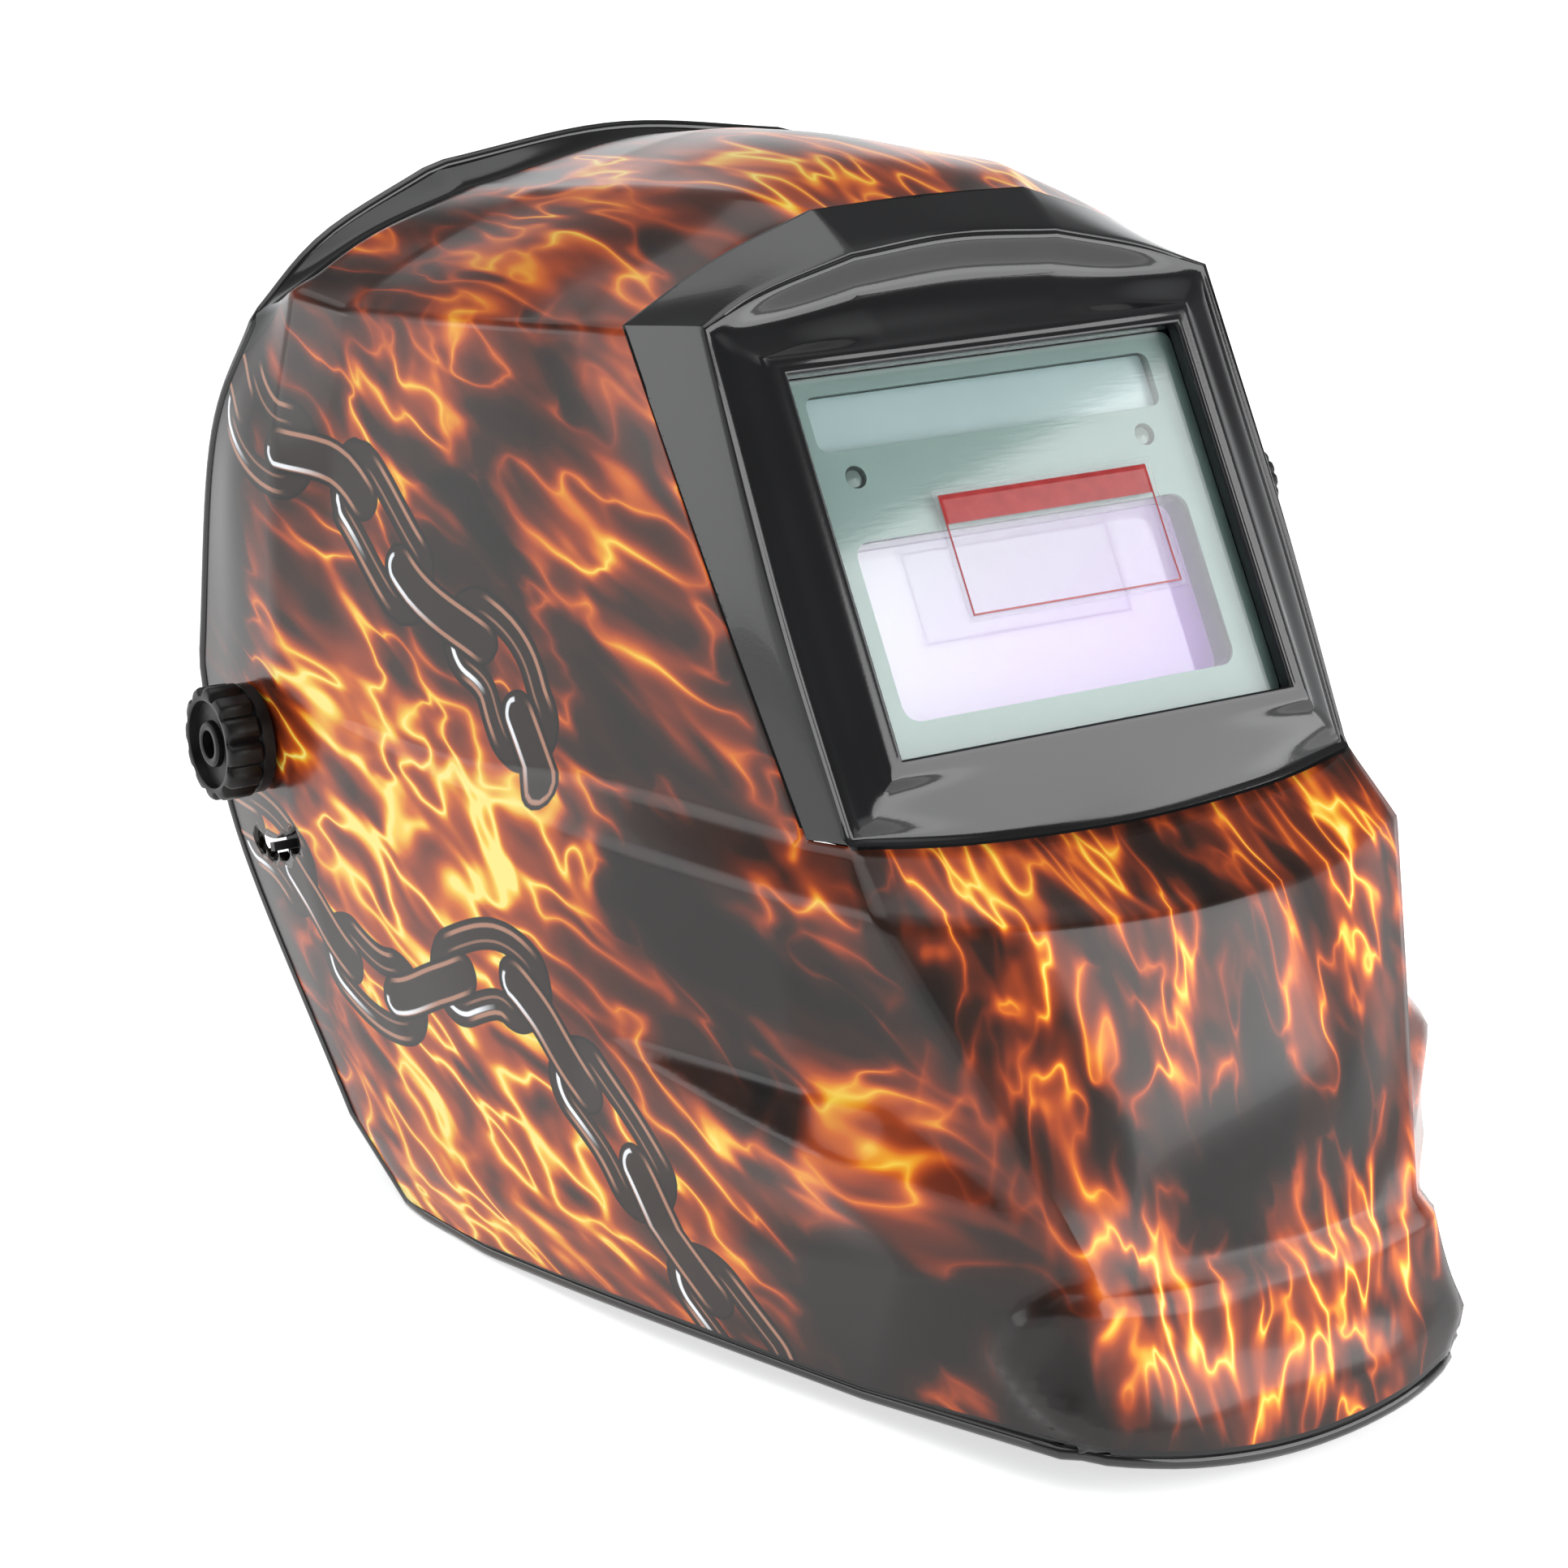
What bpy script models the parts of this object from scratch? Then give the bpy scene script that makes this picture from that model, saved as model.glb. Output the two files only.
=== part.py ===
"""Solar auto-darkening welding helmet: shell, visor, filter cartridge and ratchet headgear.

The helmet stands on its bottom rim, +Z up, and looks along -Y. X = 0 is its plane of symmetry.
All sizes below are in millimetres and are turned into metres by MM.
"""

import math

import bmesh
import bpy
import numpy as np
from mathutils import Matrix, Vector

MM = 0.001

# ---------------------------------------------------------------- driving dimensions (mm, degrees)

WINDOW_WIDTH = 106.0
WINDOW_HEIGHT = 88.9
WINDOW_TILT = 31.75          # the window leans back by this angle from the vertical
DATUM_HEIGHT = 223.0         # middle of the window's top edge above the floor
DATUM_Y = -78.96             # the same point along Y

SHELL_THICKNESS = 2.6
GAP = 0.35                   # clearance between neighbouring pieces

FILTER_WIDTH = 110.0
FILTER_HEIGHT = 90.0
FILTER_DEPTH = 9.0
FILTER_FRONT = 7.6           # depth of the cartridge's face behind the visor's face
FILTER_MIDDLE = -WINDOW_HEIGHT / 2
BACK_OF_FILTER = FILTER_FRONT + FILTER_DEPTH
LCD_WIDTH = 91.0
LCD_HEIGHT = 42.4
LCD_MIDDLE = -59.2           # heights in the visor plane run down from the window's top edge
SOLAR_WIDTH = 94.0
SOLAR_HEIGHT = 13.6
SOLAR_MIDDLE = -10.4
SENSOR_X = 39.5
SENSOR_Z = -23.4
SENSOR_RADIUS = 2.9
CONTROL_X = 32.0             # knobs on the cartridge's back
CONTROL_Z = -19.0
HOLDER_DEPTH = 9.2
RETAINER_FRONT = BACK_OF_FILTER + 1.8
RETAINER_DEPTH = 2.4
PIN_RADIUS = 1.5             # hinge pin of the retainer
PIN_DEPTH = RETAINER_FRONT + RETAINER_DEPTH / 2
PIN_Z = FILTER_MIDDLE - 52.35
SHADE_HOLE = (82.5, 20.0, -48.0)

PIVOT_Y = 155.0              # tilt axis of the headgear, from the datum
PIVOT_Z = -114.0
PIVOT_WALL = 113.0           # half width of the shell at the pivot
HEAD_TILT = 15.0             # the headgear leans back by this angle

KNOB_RADIUS = 14.6
KNOB_LENGTH = 12.7
KNOB_BASE = 3.4              # plain ring under the knob's fluted grip
SLOT_RADIUS = 28.5           # middle radius of the notched slot about the tilt axis
SLOT_MIDDLE = 254.0          # its middle direction in the Y-Z plane, degrees from +Y towards +Z
SLOT_HALF_ANGLE = 29.0

BAND_CENTRE_Y = 18.0         # centre of the headband, in the head's own frame
BAND_LEVEL = 38.0            # its height above the tilt axis
BAND_FRONT = 110.0           # half length of the forehead ellipse
STRAP_HEIGHT = 20.0
STRAP_THICKNESS = 2.4
BAND_RADIUS = 81.0           # middle radius of the forehead band's ends
LEFT_STRAP_RADIUS = 78.0
RIGHT_STRAP_RADIUS = 75.0
CROWN_RISE = 14.0            # the crown straps stand upright for this far, then arch over
BRACKET_PAD = 89.0           # inner face of the bracket's slotted pad
BRACKET_Y = -4.5             # middle of the brackets
SLIDE_TRAVEL = 13.0          # fore and aft adjustment of the headband
RATCHET_KNOB_RADIUS = 20.0

SIDES = ((-1, "right"), (1, "left"))
# turns a plate's local X-Y plane into the helmet's Y-Z plane
TO_SIDE = Matrix(((0, 0, 1, 0), (1, 0, 0, 0), (0, 1, 0, 0), (0, 0, 0, 1)))

# Half of the shell's control net. Each row runs from the rear edge forwards, and each point is
# (half width, y, z) from the datum. Rows go from the bottom rim up to the crown.
# Columns: rear edge, cove, strip, facet, side, cheek, visor seam, visor corner, face, middle.
SHELL_ROWS = [
    # bottom rim
    [(103, 98, -222), (103, 90, -223), (102, 80, -223), (100, 60, -222), (94, 25, -219.5),
     (86, -10, -217.5), (70, -60, -217), (54, -112, -213), (28, -122.5, -217), (0, -124, -219.5)],
    # skirt crease
    [(107, 120, -205), (107, 108, -206), (106.5, 95, -206), (105, 72, -205), (100, 35, -201),
     (90, -18, -188.5), (72, -78, -178.5), (44, -108.5, -177), (22, -111.5, -178), (0, -113, -178.5)],
    # lower cheek
    [(110.5, 171, -149), (111.5, 150, -150), (111.5, 128, -150), (109.5, 100, -150), (104.5, 55, -150),
     (96, 8, -149), (79, -50, -145), (57.5, -87, -141), (30, -99, -142), (0, -103, -142)],
    # belt, lower edge
    [(111.5, 189, -112), (113, 166, -110), (113, 140, -107), (109.8, 112, -105), (103, 66, -104.7),
     (94, 20, -106), (79.5, -36, -105.5), (70.7, -65, -105), (40, -79.5, -105.8), (0, -87, -106)],
    # belt, upper edge
    [(111.5, 191, -103), (113, 166, -101), (112.8, 140, -98), (109, 112, -98), (101, 70, -98.5),
     (89.5, 25, -93.5), (72, -38, -93), (68.3, -49.4, -92), (40, -56, -94), (0, -59, -94.9)],
    # middle of the side
    [(110, 181, -43), (112, 163, -45), (110.5, 143, -46), (106, 124, -45), (97, 80, -45),
     (88, 42, -45), (75.5, -7, -45), (70, -21, -44)],
    # crease between side and dome
    [(102.5, 170, -11), (101, 159, -6.5), (102, 147, -1.5), (99.5, 126, -2), (92.5, 75, 3.2),
     (82.3, 45, 6.3), (76, 31.4, 7.8), (68.8, 10.4, 10.5)],
    # flank of the dome
    [(83, 170, 7), (78, 159, 7), (80, 148, 10.2), (75, 128, 9.8), (69.5, 79, 17),
     (61, 48, 19.7), (54, 30, 20), (52, 13, 16.6)],
    # crease beside the dome's middle band
    [(52, 170, 22), (50, 159, 17), (51, 148, 19.8), (52, 116, 23.5), (45, 84, 28.2),
     (38, 50, 31), (29, 28.5, 29.4), (28, 14, 22.4)],
    # crown
    [(0, 170, 27.7), (0, 159, 24.5), (0, 148, 28.2), (0, 118, 33.5), (0, 85, 36.5),
     (0, 52, 35.5), (0, 28.4, 30), (0, 14.9, 24)],
]
BELT_ROW = 4
CROWN_ROW = 9
SEAM = 6
CORNER = 7
MIDDLE = 9
SHARP_ROWS = {1, 3, 4, 6, 8}
SHARP_COLUMNS = {2, 3, SEAM, CORNER}

# ---------------------------------------------------------------- scene

for leftover in list(bpy.data.objects):
    bpy.data.objects.remove(leftover, do_unlink=True)

part_collection = bpy.data.collections.new("welding_helmet")
cutter_collection = bpy.data.collections.new("cutters")
bpy.context.scene.collection.children.link(part_collection)
bpy.context.scene.collection.children.link(cutter_collection)


def material(name, colour, roughness, metallic=0.0, alpha=1.0):
    made = bpy.data.materials.new(name)
    made.use_nodes = True
    shader = made.node_tree.nodes["Principled BSDF"]
    shader.inputs["Base Color"].default_value = (*colour, 1.0)
    shader.inputs["Roughness"].default_value = roughness
    shader.inputs["Metallic"].default_value = metallic
    shader.inputs["Alpha"].default_value = alpha
    return made


PRINTED = material("printed_shell", (0.05, 0.035, 0.03), 0.18)
GLOSS_BLACK = material("gloss_black", (0.012, 0.012, 0.014), 0.15)
SATIN_BLACK = material("satin_black", (0.02, 0.02, 0.02), 0.45)
STRAP_BLACK = material("strap_black", (0.03, 0.03, 0.03), 0.5)
CLEAR = material("clear_lens", (0.85, 0.95, 0.92), 0.05, alpha=0.3)
FILTER_GREEN = material("filter_green", (0.35, 0.42, 0.39), 0.25)
FILTER_GLASS = material("filter_glass", (0.75, 0.6, 0.85), 0.08)
SOLAR = material("solar_cell", (0.55, 0.66, 0.7), 0.2)
SENSOR = material("sensor", (0.05, 0.06, 0.06), 0.1)
BOARD = material("circuit_board", (0.02, 0.16, 0.06), 0.5)
STEEL = material("steel", (0.6, 0.6, 0.62), 0.3, 1.0)
FOAM = material("foam", (0.06, 0.06, 0.065), 0.95)
RED = material("red_button", (0.5, 0.03, 0.02), 0.4)


def empty(name, parent=None, location=(0, 0, 0), tilt=0.0):
    made = bpy.data.objects.new(name, None)
    made.location = Vector(location) * MM
    made.rotation_euler = (math.radians(tilt), 0, 0)
    made.parent = parent
    part_collection.objects.link(made)
    return made


DATUM = empty("datum", location=(0, DATUM_Y, DATUM_HEIGHT))
VISOR = empty("visor_plane", DATUM, tilt=-WINDOW_TILT)
HEAD = empty("head_frame", DATUM, (0, PIVOT_Y, PIVOT_Z), -HEAD_TILT)


def place(mesh, name, look, parent=DATUM, location=(0, 0, 0), rotation=(0, 0, 0)):
    made = bpy.data.objects.new(name, mesh)
    made.data.materials.clear()
    made.data.materials.append(look)
    made.parent = parent
    made.location = Vector(location) * MM
    made.rotation_euler = [math.radians(angle) for angle in rotation]
    part_collection.objects.link(made)
    return made


def move_origin(made, location):
    """Put an object's origin at a point of its parent's frame and leave its shape in place."""
    shift = Vector(location) * MM - made.location
    made.data.transform(Matrix.Translation(-shift))
    made.location += shift


def finish_mesh(shape, name, sharp=35.0):
    bmesh.ops.recalc_face_normals(shape, faces=shape.faces)
    mesh = bpy.data.meshes.new(name)
    shape.to_mesh(mesh)
    shape.free()
    mesh.shade_smooth()
    mesh.set_sharp_from_angle(angle=math.radians(sharp))
    return mesh


# ---------------------------------------------------------------- basic solids, sizes in mm


def box_mesh(name, size, bevel=0.0, segments=2):
    shape = bmesh.new()
    bmesh.ops.create_cube(shape, size=1.0)
    bmesh.ops.scale(shape, vec=Vector(size) * MM, verts=shape.verts)
    if bevel:
        bmesh.ops.bevel(shape, geom=shape.edges[:], offset=bevel * MM, segments=segments,
                        profile=0.5, affect="EDGES")
    return finish_mesh(shape, name)


def turned(name, look, profile, axis="Y", steps=32, parent=None, location=(0, 0, 0), turn=0.0):
    """Turn a profile of (radius, position along the axis) pairs about a local axis.

    The pairs run along the outer side in the axis's direction. They start and end on the axis,
    or close into a ring. A turn of 180 degrees about Z points the X axis the other way."""
    shape = bmesh.new()
    points = []
    for radius, along in reversed(profile):
        point = {"X": (along, radius, 0), "Y": (0, along, radius), "Z": (radius, 0, along)}[axis]
        points.append(shape.verts.new(Vector(point) * MM))
    for first, second in zip(points, points[1:]):
        shape.edges.new((first, second))
    if profile[0][0] > 0:
        shape.edges.new((points[-1], points[0]))
    mesh = bpy.data.meshes.new(name)
    shape.to_mesh(mesh)
    shape.free()
    made = place(mesh, name, look, parent or DATUM, location, (0, 0, turn))
    screw = made.modifiers.new("turn", "SCREW")
    screw.axis = axis
    screw.steps = steps
    screw.render_steps = steps
    screw.use_merge_vertices = True
    screw.merge_threshold = 0.01 * MM
    screw.use_smooth_shade = False
    return made


def outline_mesh(name, outline, thickness, holes=(), bevel=0.0):
    """A flat plate in the local X-Y plane with its middle at Z = 0."""
    curve = bpy.data.curves.new(name, "CURVE")
    curve.dimensions = "2D"
    curve.fill_mode = "BOTH"
    curve.extrude = thickness / 2 * MM
    for points in [outline, *holes]:
        spline = curve.splines.new("POLY")
        spline.points.add(len(points) - 1)
        spline.use_cyclic_u = True
        for point, (x, y) in zip(spline.points, points):
            point.co = (x * MM, y * MM, 0, 1)
    holder = bpy.data.objects.new(name, curve)
    part_collection.objects.link(holder)
    mesh = mesh_of(holder, name)
    if bevel:
        shape = bmesh.new()
        shape.from_mesh(mesh)
        rims = [edge for edge in shape.edges
                if len(edge.link_faces) == 2 and edge.calc_face_angle(0) > math.radians(60)
                and abs(edge.verts[0].co.z - edge.verts[1].co.z) < 1e-7]
        bmesh.ops.bevel(shape, geom=rims, offset=bevel * MM, segments=2, profile=0.5,
                        affect="EDGES")
        mesh = finish_mesh(shape, name)
    return mesh


def mesh_of(holder, name):
    """The evaluated mesh of a curve object, with its caps welded; the object is removed."""
    graph = bpy.context.evaluated_depsgraph_get()
    mesh = bpy.data.meshes.new_from_object(holder.evaluated_get(graph))
    bpy.data.objects.remove(holder, do_unlink=True)
    shape = bmesh.new()
    shape.from_mesh(mesh)
    bmesh.ops.remove_doubles(shape, verts=shape.verts, dist=0.00001)
    return finish_mesh(shape, name)


def arc(radius, start, end, steps, centre=(0.0, 0.0)):
    angles = np.radians(np.linspace(start, end, steps))
    return [(centre[0] + radius * math.cos(a), centre[1] + radius * math.sin(a)) for a in angles]


def rounded_rectangle(width, height, radius, steps=5):
    points = []
    for quarter, (sx, sy) in enumerate([(1, 1), (-1, 1), (-1, -1), (1, -1)]):
        centre = (sx * (width / 2 - radius), sy * (height / 2 - radius))
        points += arc(radius, 90 * quarter, 90 * quarter + 90, steps, centre)
    return points


def combine(target, tool, operation):
    """Exact Boolean of a part with a helper solid, which then leaves the part's collection."""
    tool.hide_render = True
    tool.display_type = "WIRE"
    for owner in list(tool.users_collection):
        owner.objects.unlink(tool)
    cutter_collection.objects.link(tool)
    step = target.modifiers.new(tool.name, "BOOLEAN")
    step.operation = operation
    step.solver = "EXACT"
    step.object = tool


def cut(target, tool):
    combine(target, tool, "DIFFERENCE")


def join(target, tool):
    combine(target, tool, "UNION")


# ---------------------------------------------------------------- shell surface


def spline_weights(count, sharp, per_span):
    """Rows of weights that turn control points into points on a smooth line through them.

    The line is a cubic through the points, and its direction may jump at the sharp ones."""
    spans = count - 1
    if isinstance(per_span, int):
        per_span = [per_span] * spans
    tangents = np.zeros((2, count, count))
    for knot in range(count):
        forward = np.zeros(count)
        backward = np.zeros(count)
        if knot < spans:
            forward[knot + 1], forward[knot] = 1, -1
        if knot > 0:
            backward[knot], backward[knot - 1] = 1, -1
        if knot == 0:
            backward = forward
        if knot == spans:
            forward = backward
        if knot in sharp:
            tangents[0, knot], tangents[1, knot] = backward, forward
        else:
            tangents[:, knot] = (forward + backward) / 2
    rows = []
    for span in range(spans):
        last = span == spans - 1
        for s in np.linspace(0, 1, per_span[span] + 1)[:None if last else -1]:
            row = (2 * s**3 - 3 * s**2 + 1) * np.eye(count)[span]
            row = row + (3 * s**2 - 2 * s**3) * np.eye(count)[span + 1]
            row = row + (s**3 - 2 * s**2 + s) * tangents[1, span]
            row = row + (s**3 - s**2) * tangents[0, span + 1]
            rows.append(row)
    return np.array(rows)


def mirrored(points):
    return points * np.array([-1.0, 1.0, 1.0])


def lower_net():
    """Rim to belt, all the way round the chin: rows x 19 columns, wearer's right to left."""
    half = np.array([row for row in SHELL_ROWS[:BELT_ROW + 1]], dtype=float)
    return np.concatenate([mirrored(half), half[:, -2::-1]], axis=1)


def upper_net():
    """Belt over the crown to the other belt: 11 rows x columns from rear edge to the corner."""
    half = np.array([row[:CORNER + 1] for row in SHELL_ROWS[BELT_ROW:]], dtype=float)
    return np.concatenate([mirrored(half), half[-2::-1]], axis=0)


LOWER_SPANS = [3, 3, 3, 2]
UPPER_SPANS = [4, 4, 3, 3, 3]
COLUMN_SPANS = [1, 1, 1, 2, 2, 3, 1, 2, 2]


def shell_grids():
    """Points of the lower and the upper part of the shell's outer surface, in mm."""
    lower_sharp = {row for row in SHARP_ROWS if row <= BELT_ROW}
    wrap = COLUMN_SPANS + COLUMN_SPANS[::-1]
    columns = SHARP_COLUMNS | {2 * MIDDLE - column for column in SHARP_COLUMNS}
    across = spline_weights(2 * MIDDLE + 1, columns, wrap)
    up = spline_weights(BELT_ROW + 1, lower_sharp, LOWER_SPANS)
    lower = np.einsum("ri,ijk,cj->rck", up, lower_net(), across)

    half_rows = CROWN_ROW - BELT_ROW
    upper_sharp = {row - BELT_ROW for row in SHARP_ROWS if row >= BELT_ROW}
    upper_sharp |= {2 * half_rows - row for row in upper_sharp}
    over = spline_weights(2 * half_rows + 1, upper_sharp, UPPER_SPANS + UPPER_SPANS[::-1])
    along = spline_weights(CORNER + 1, SHARP_COLUMNS, COLUMN_SPANS[:CORNER])
    upper = np.einsum("ri,ijk,cj->rck", over, upper_net(), along)
    return lower, upper


def add_grid(shape, points):
    """Faces over a grid of points; returns the grid of vertices."""
    grid = [[shape.verts.new(Vector(point) * MM) for point in row] for row in points]
    for low, high in zip(grid, grid[1:]):
        for column in range(len(low) - 1):
            shape.faces.new([low[column], low[column + 1], high[column + 1], high[column]])
    return grid


def make_shell():
    lower, upper = shell_grids()
    seam_column = sum(COLUMN_SPANS[:SEAM])
    shape = bmesh.new()
    add_grid(shape, lower)
    add_grid(shape, upper[:, :seam_column + 1])
    bmesh.ops.remove_doubles(shape, verts=shape.verts, dist=0.02 * MM)
    mesh = finish_mesh(shape, "shell", 28.0)
    shell = place(mesh, "shell", PRINTED)
    wall = shell.modifiers.new("wall", "SOLIDIFY")
    wall.thickness = SHELL_THICKNESS * MM
    wall.offset = -1.0
    wall.use_even_offset = True
    wall.thickness_clamp = 1.0
    for side, word in SIDES:
        cut(shell, turned(f"pivot_drill_{word}", SATIN_BLACK, [(0, -8), (4.2, -8), (4.2, 8), (0, 8)],
                          "X", 24, location=(side * PIVOT_WALL, PIVOT_Y, PIVOT_Z)))
    cut(shell, notched_slot_cutter())
    cut(shell, turned("shade_drill", SATIN_BLACK, [(0, -12), (4.2, -12), (4.2, 12), (0, 12)],
                      "X", 20, location=SHADE_HOLE))
    return shell


def notched_slot_cutter():
    """Arc slot about the tilt axis with a smooth upper edge and four notches in its lower one."""
    start = SLOT_MIDDLE - SLOT_HALF_ANGLE
    end = SLOT_MIDDLE + SLOT_HALF_ANGLE
    inner = arc(SLOT_RADIUS - 2.4, end, start, 13)
    outer = []
    notches = 4
    for notch in range(notches):
        low = start + (end - start) * notch / notches
        high = start + (end - start) * (notch + 1) / notches
        for angle, reach in zip(np.linspace(low, high, 6), (1.2, 2.6, 3.4, 3.4, 2.6, 1.2)):
            outer += arc(SLOT_RADIUS + reach, angle, angle, 1)
    mesh = outline_mesh("slot_cutter", outer + inner, 16.0)
    mesh.transform(TO_SIDE)
    return place(mesh, "slot_cutter", SATIN_BLACK, location=(-PIVOT_WALL, PIVOT_Y, PIVOT_Z))


# ---------------------------------------------------------------- visor


def visor_local(points):
    """Visor-plane points (x, depth, height) in the datum frame."""
    lean = math.radians(WINDOW_TILT)
    points = np.asarray(points, dtype=float)
    y = points[..., 1] * math.cos(lean) + points[..., 2] * math.sin(lean)
    z = -points[..., 1] * math.sin(lean) + points[..., 2] * math.cos(lean)
    return np.stack([points[..., 0], y, z], axis=-1)


def visor_depth(points):
    """Datum-frame points as (x, depth, height) in the visor plane."""
    lean = math.radians(WINDOW_TILT)
    depth = points[:, 1] * math.cos(lean) - points[:, 2] * math.sin(lean)
    height = points[:, 1] * math.sin(lean) + points[:, 2] * math.cos(lean)
    return np.stack([points[:, 0], depth, height], axis=-1)


def make_visor_frame():
    """Picture frame round the window: flange from the shell's seam, face and opening wall."""
    lower, upper = shell_grids()
    seam_column = sum(COLUMN_SPANS[:SEAM])
    corner_column = sum(COLUMN_SPANS[:CORNER])
    bottom = visor_depth(lower[-1, corner_column:lower.shape[1] - corner_column])
    seam = visor_depth(upper[::-1, seam_column])
    edge = visor_depth(upper[::-1, corner_column])
    edge[0] += 0.3 * (edge[1] - edge[0])
    edge[-1] += 0.3 * (edge[-2] - edge[-1])
    outer = np.concatenate([bottom, seam])
    face = np.concatenate([bottom, edge])
    below = len(bottom)

    # the same stations round the window opening
    half = WINDOW_WIDTH / 2
    side_rows = UPPER_SPANS[0] + UPPER_SPANS[1]
    arch_rows = len(seam) - 2 * side_rows
    heights = np.linspace(-WINDOW_HEIGHT, 0, side_rows + 2)[1:]
    opening = [(x, -WINDOW_HEIGHT) for x in np.linspace(-half, half, below)]
    opening += [(half, h) for h in heights]
    opening += [(x, 0.0) for x in np.linspace(half, -half, arch_rows)[1:-1]]
    opening += [(-half, h) for h in heights[::-1]]
    opening = np.array(opening)
    centre = np.array([0.0, FILTER_MIDDLE])

    def window(grow, depth):
        scale = np.array([1 + 2 * grow / WINDOW_WIDTH, 1 + 2 * grow / WINDOW_HEIGHT])
        flat = (opening - centre) * scale + centre
        return np.stack([flat[:, 0], np.full(len(flat), depth), flat[:, 1]], axis=-1)

    # direction from the seam towards the face, and the direction into the wall
    towards = face - outer
    towards[:below] = (0, 0, 1)
    towards /= np.linalg.norm(towards, axis=1, keepdims=True)
    run = np.roll(outer, -1, axis=0) - np.roll(outer, 1, axis=0)
    inward = np.cross(run, towards)
    inward[:below] = (0, 1, 0)
    inward /= np.linalg.norm(inward, axis=1, keepdims=True)
    middle = np.array([0.0, 30.0, FILTER_MIDDLE])
    inward *= np.sign(np.einsum("ij,ij->i", inward, middle - outer))[:, None]

    rim = outer + 0.5 * towards
    rim_back = outer + 1.0 * towards + 2.2 * inward
    pull = window(0, 0) - face
    pull[:, 1] = 0
    pull /= np.linalg.norm(pull, axis=1, keepdims=True)
    lip = face + 1.4 * pull
    lip[:below, 1] -= 1.2
    lip_back = lip + 2.6 * pull + np.array([0.0, 4.6, 0.0])
    shoulder = 0.55 * window(0, 0) + 0.45 * lip
    shoulder[:, 1] = 0.35 * lip[:, 1] + 1.6
    loops = [rim, lip, shoulder, window(1.6, 0.2), window(0, 1.0), window(0, 4.0), window(4.2, 4.0),
             window(4.2, 6.0), lip_back, rim_back]
    shape = bmesh.new()
    rings = [[shape.verts.new(Vector(p) * MM) for p in visor_local(loop)] for loop in loops]
    for ring, following in zip(rings, rings[1:] + rings[:1]):
        for station in range(len(ring)):
            after = (station + 1) % len(ring)
            shape.faces.new([ring[station], ring[after], following[after], following[station]])
    return place(finish_mesh(shape, "visor_frame", 40.0), "visor_frame", GLOSS_BLACK)


def plate(name, look, width, height, depth, front, middle, bevel=0.0, x=0.0, corner=2.0, holes=()):
    """A plate in the visor plane, its face at the given depth behind the visor's face."""
    mesh = outline_mesh(name, rounded_rectangle(width, height, corner), depth, holes, bevel)
    # the plate's outline lies in local X-Y; stand it up so that its face looks along -Y
    mesh.transform(Matrix.Rotation(math.radians(90), 4, "X"))
    return place(mesh, name, look, VISOR, (x, front + depth / 2, middle))


def block(name, size, location):
    """A cutter box in the visor plane."""
    return place(box_mesh(name, size), name, SATIN_BLACK, VISOR, location)


def make_filter():
    """Auto-darkening cartridge between its two cover lenses, in its holder."""
    plate("front_cover_lens", CLEAR, 113.6, 96.4, 1.0, 4.0 + GAP, FILTER_MIDDLE, corner=1.5)
    housing = plate("filter_housing", FILTER_GREEN, FILTER_WIDTH, FILTER_HEIGHT, FILTER_DEPTH - 1.6,
                    FILTER_FRONT, FILTER_MIDDLE, corner=2.5)
    lcd_opening = (LCD_WIDTH + 0.8, 30, LCD_HEIGHT + 0.8)
    lcd_place = (0, FILTER_FRONT + FILTER_DEPTH / 2, LCD_MIDDLE)
    cut(housing, block("lcd_window", lcd_opening, lcd_place))
    cut(housing, block("solar_pocket", (SOLAR_WIDTH + 0.8, 7.2, SOLAR_HEIGHT + 0.8),
                       (0, FILTER_FRONT, SOLAR_MIDDLE)))
    cut(housing, block("board_pocket", (104, 8, 36), (0, FILTER_FRONT + 8.2, CONTROL_Z)))
    back = plate("filter_back_cover", SATIN_BLACK, FILTER_WIDTH, FILTER_HEIGHT, 1.3,
                 BACK_OF_FILTER - 1.3, FILTER_MIDDLE, corner=2.5)
    cut(back, block("rear_window", lcd_opening, lcd_place))
    for name, x, radius in (("sensitivity", -CONTROL_X, 3.4), ("delay", CONTROL_X, 3.4), ("test", 0, 2.6)):
        cut(back, turned(f"{name}_drill", SATIN_BLACK, [(0, -6), (radius, -6), (radius, 6), (0, 6)],
                         "Y", 20, VISOR, (x, BACK_OF_FILTER, CONTROL_Z)))
    plate("filter_glass", FILTER_GLASS, LCD_WIDTH, LCD_HEIGHT, FILTER_DEPTH - 2.4,
          FILTER_FRONT + 1.2, LCD_MIDDLE, corner=3.0)
    plate("solar_cell", SOLAR, SOLAR_WIDTH, SOLAR_HEIGHT, 0.9, FILTER_FRONT + 2.4, SOLAR_MIDDLE,
          corner=1.2)
    for side, word in SIDES:
        spot = (side * SENSOR_X, FILTER_FRONT, SENSOR_Z)
        cut(housing, turned(f"sensor_drill_{word}", SATIN_BLACK, [(0, -1), (3.3, -1), (3.3, 3.2), (0, 3.2)],
                            "Y", 20, VISOR, spot))
        dome = [(0, 0.3), (2.0, 0.7), (SENSOR_RADIUS, 1.6), (SENSOR_RADIUS, 2.9), (0, 2.9)]
        turned(f"arc_sensor_{word}", SENSOR, dome, "Y", 20, VISOR, spot)
    plate("control_board", BOARD, 102.0, 34.0, 1.2, FILTER_FRONT + 4.6, CONTROL_Z, corner=1.0)
    plate("battery", STEEL, 24.0, 24.0, 1.1, FILTER_FRONT + 6.1, CONTROL_Z, corner=11.9, x=16.5)
    plate("inner_cover_lens", CLEAR, 104.0, 50.0, 0.9, BACK_OF_FILTER + GAP, LCD_MIDDLE, corner=1.5)


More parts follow.
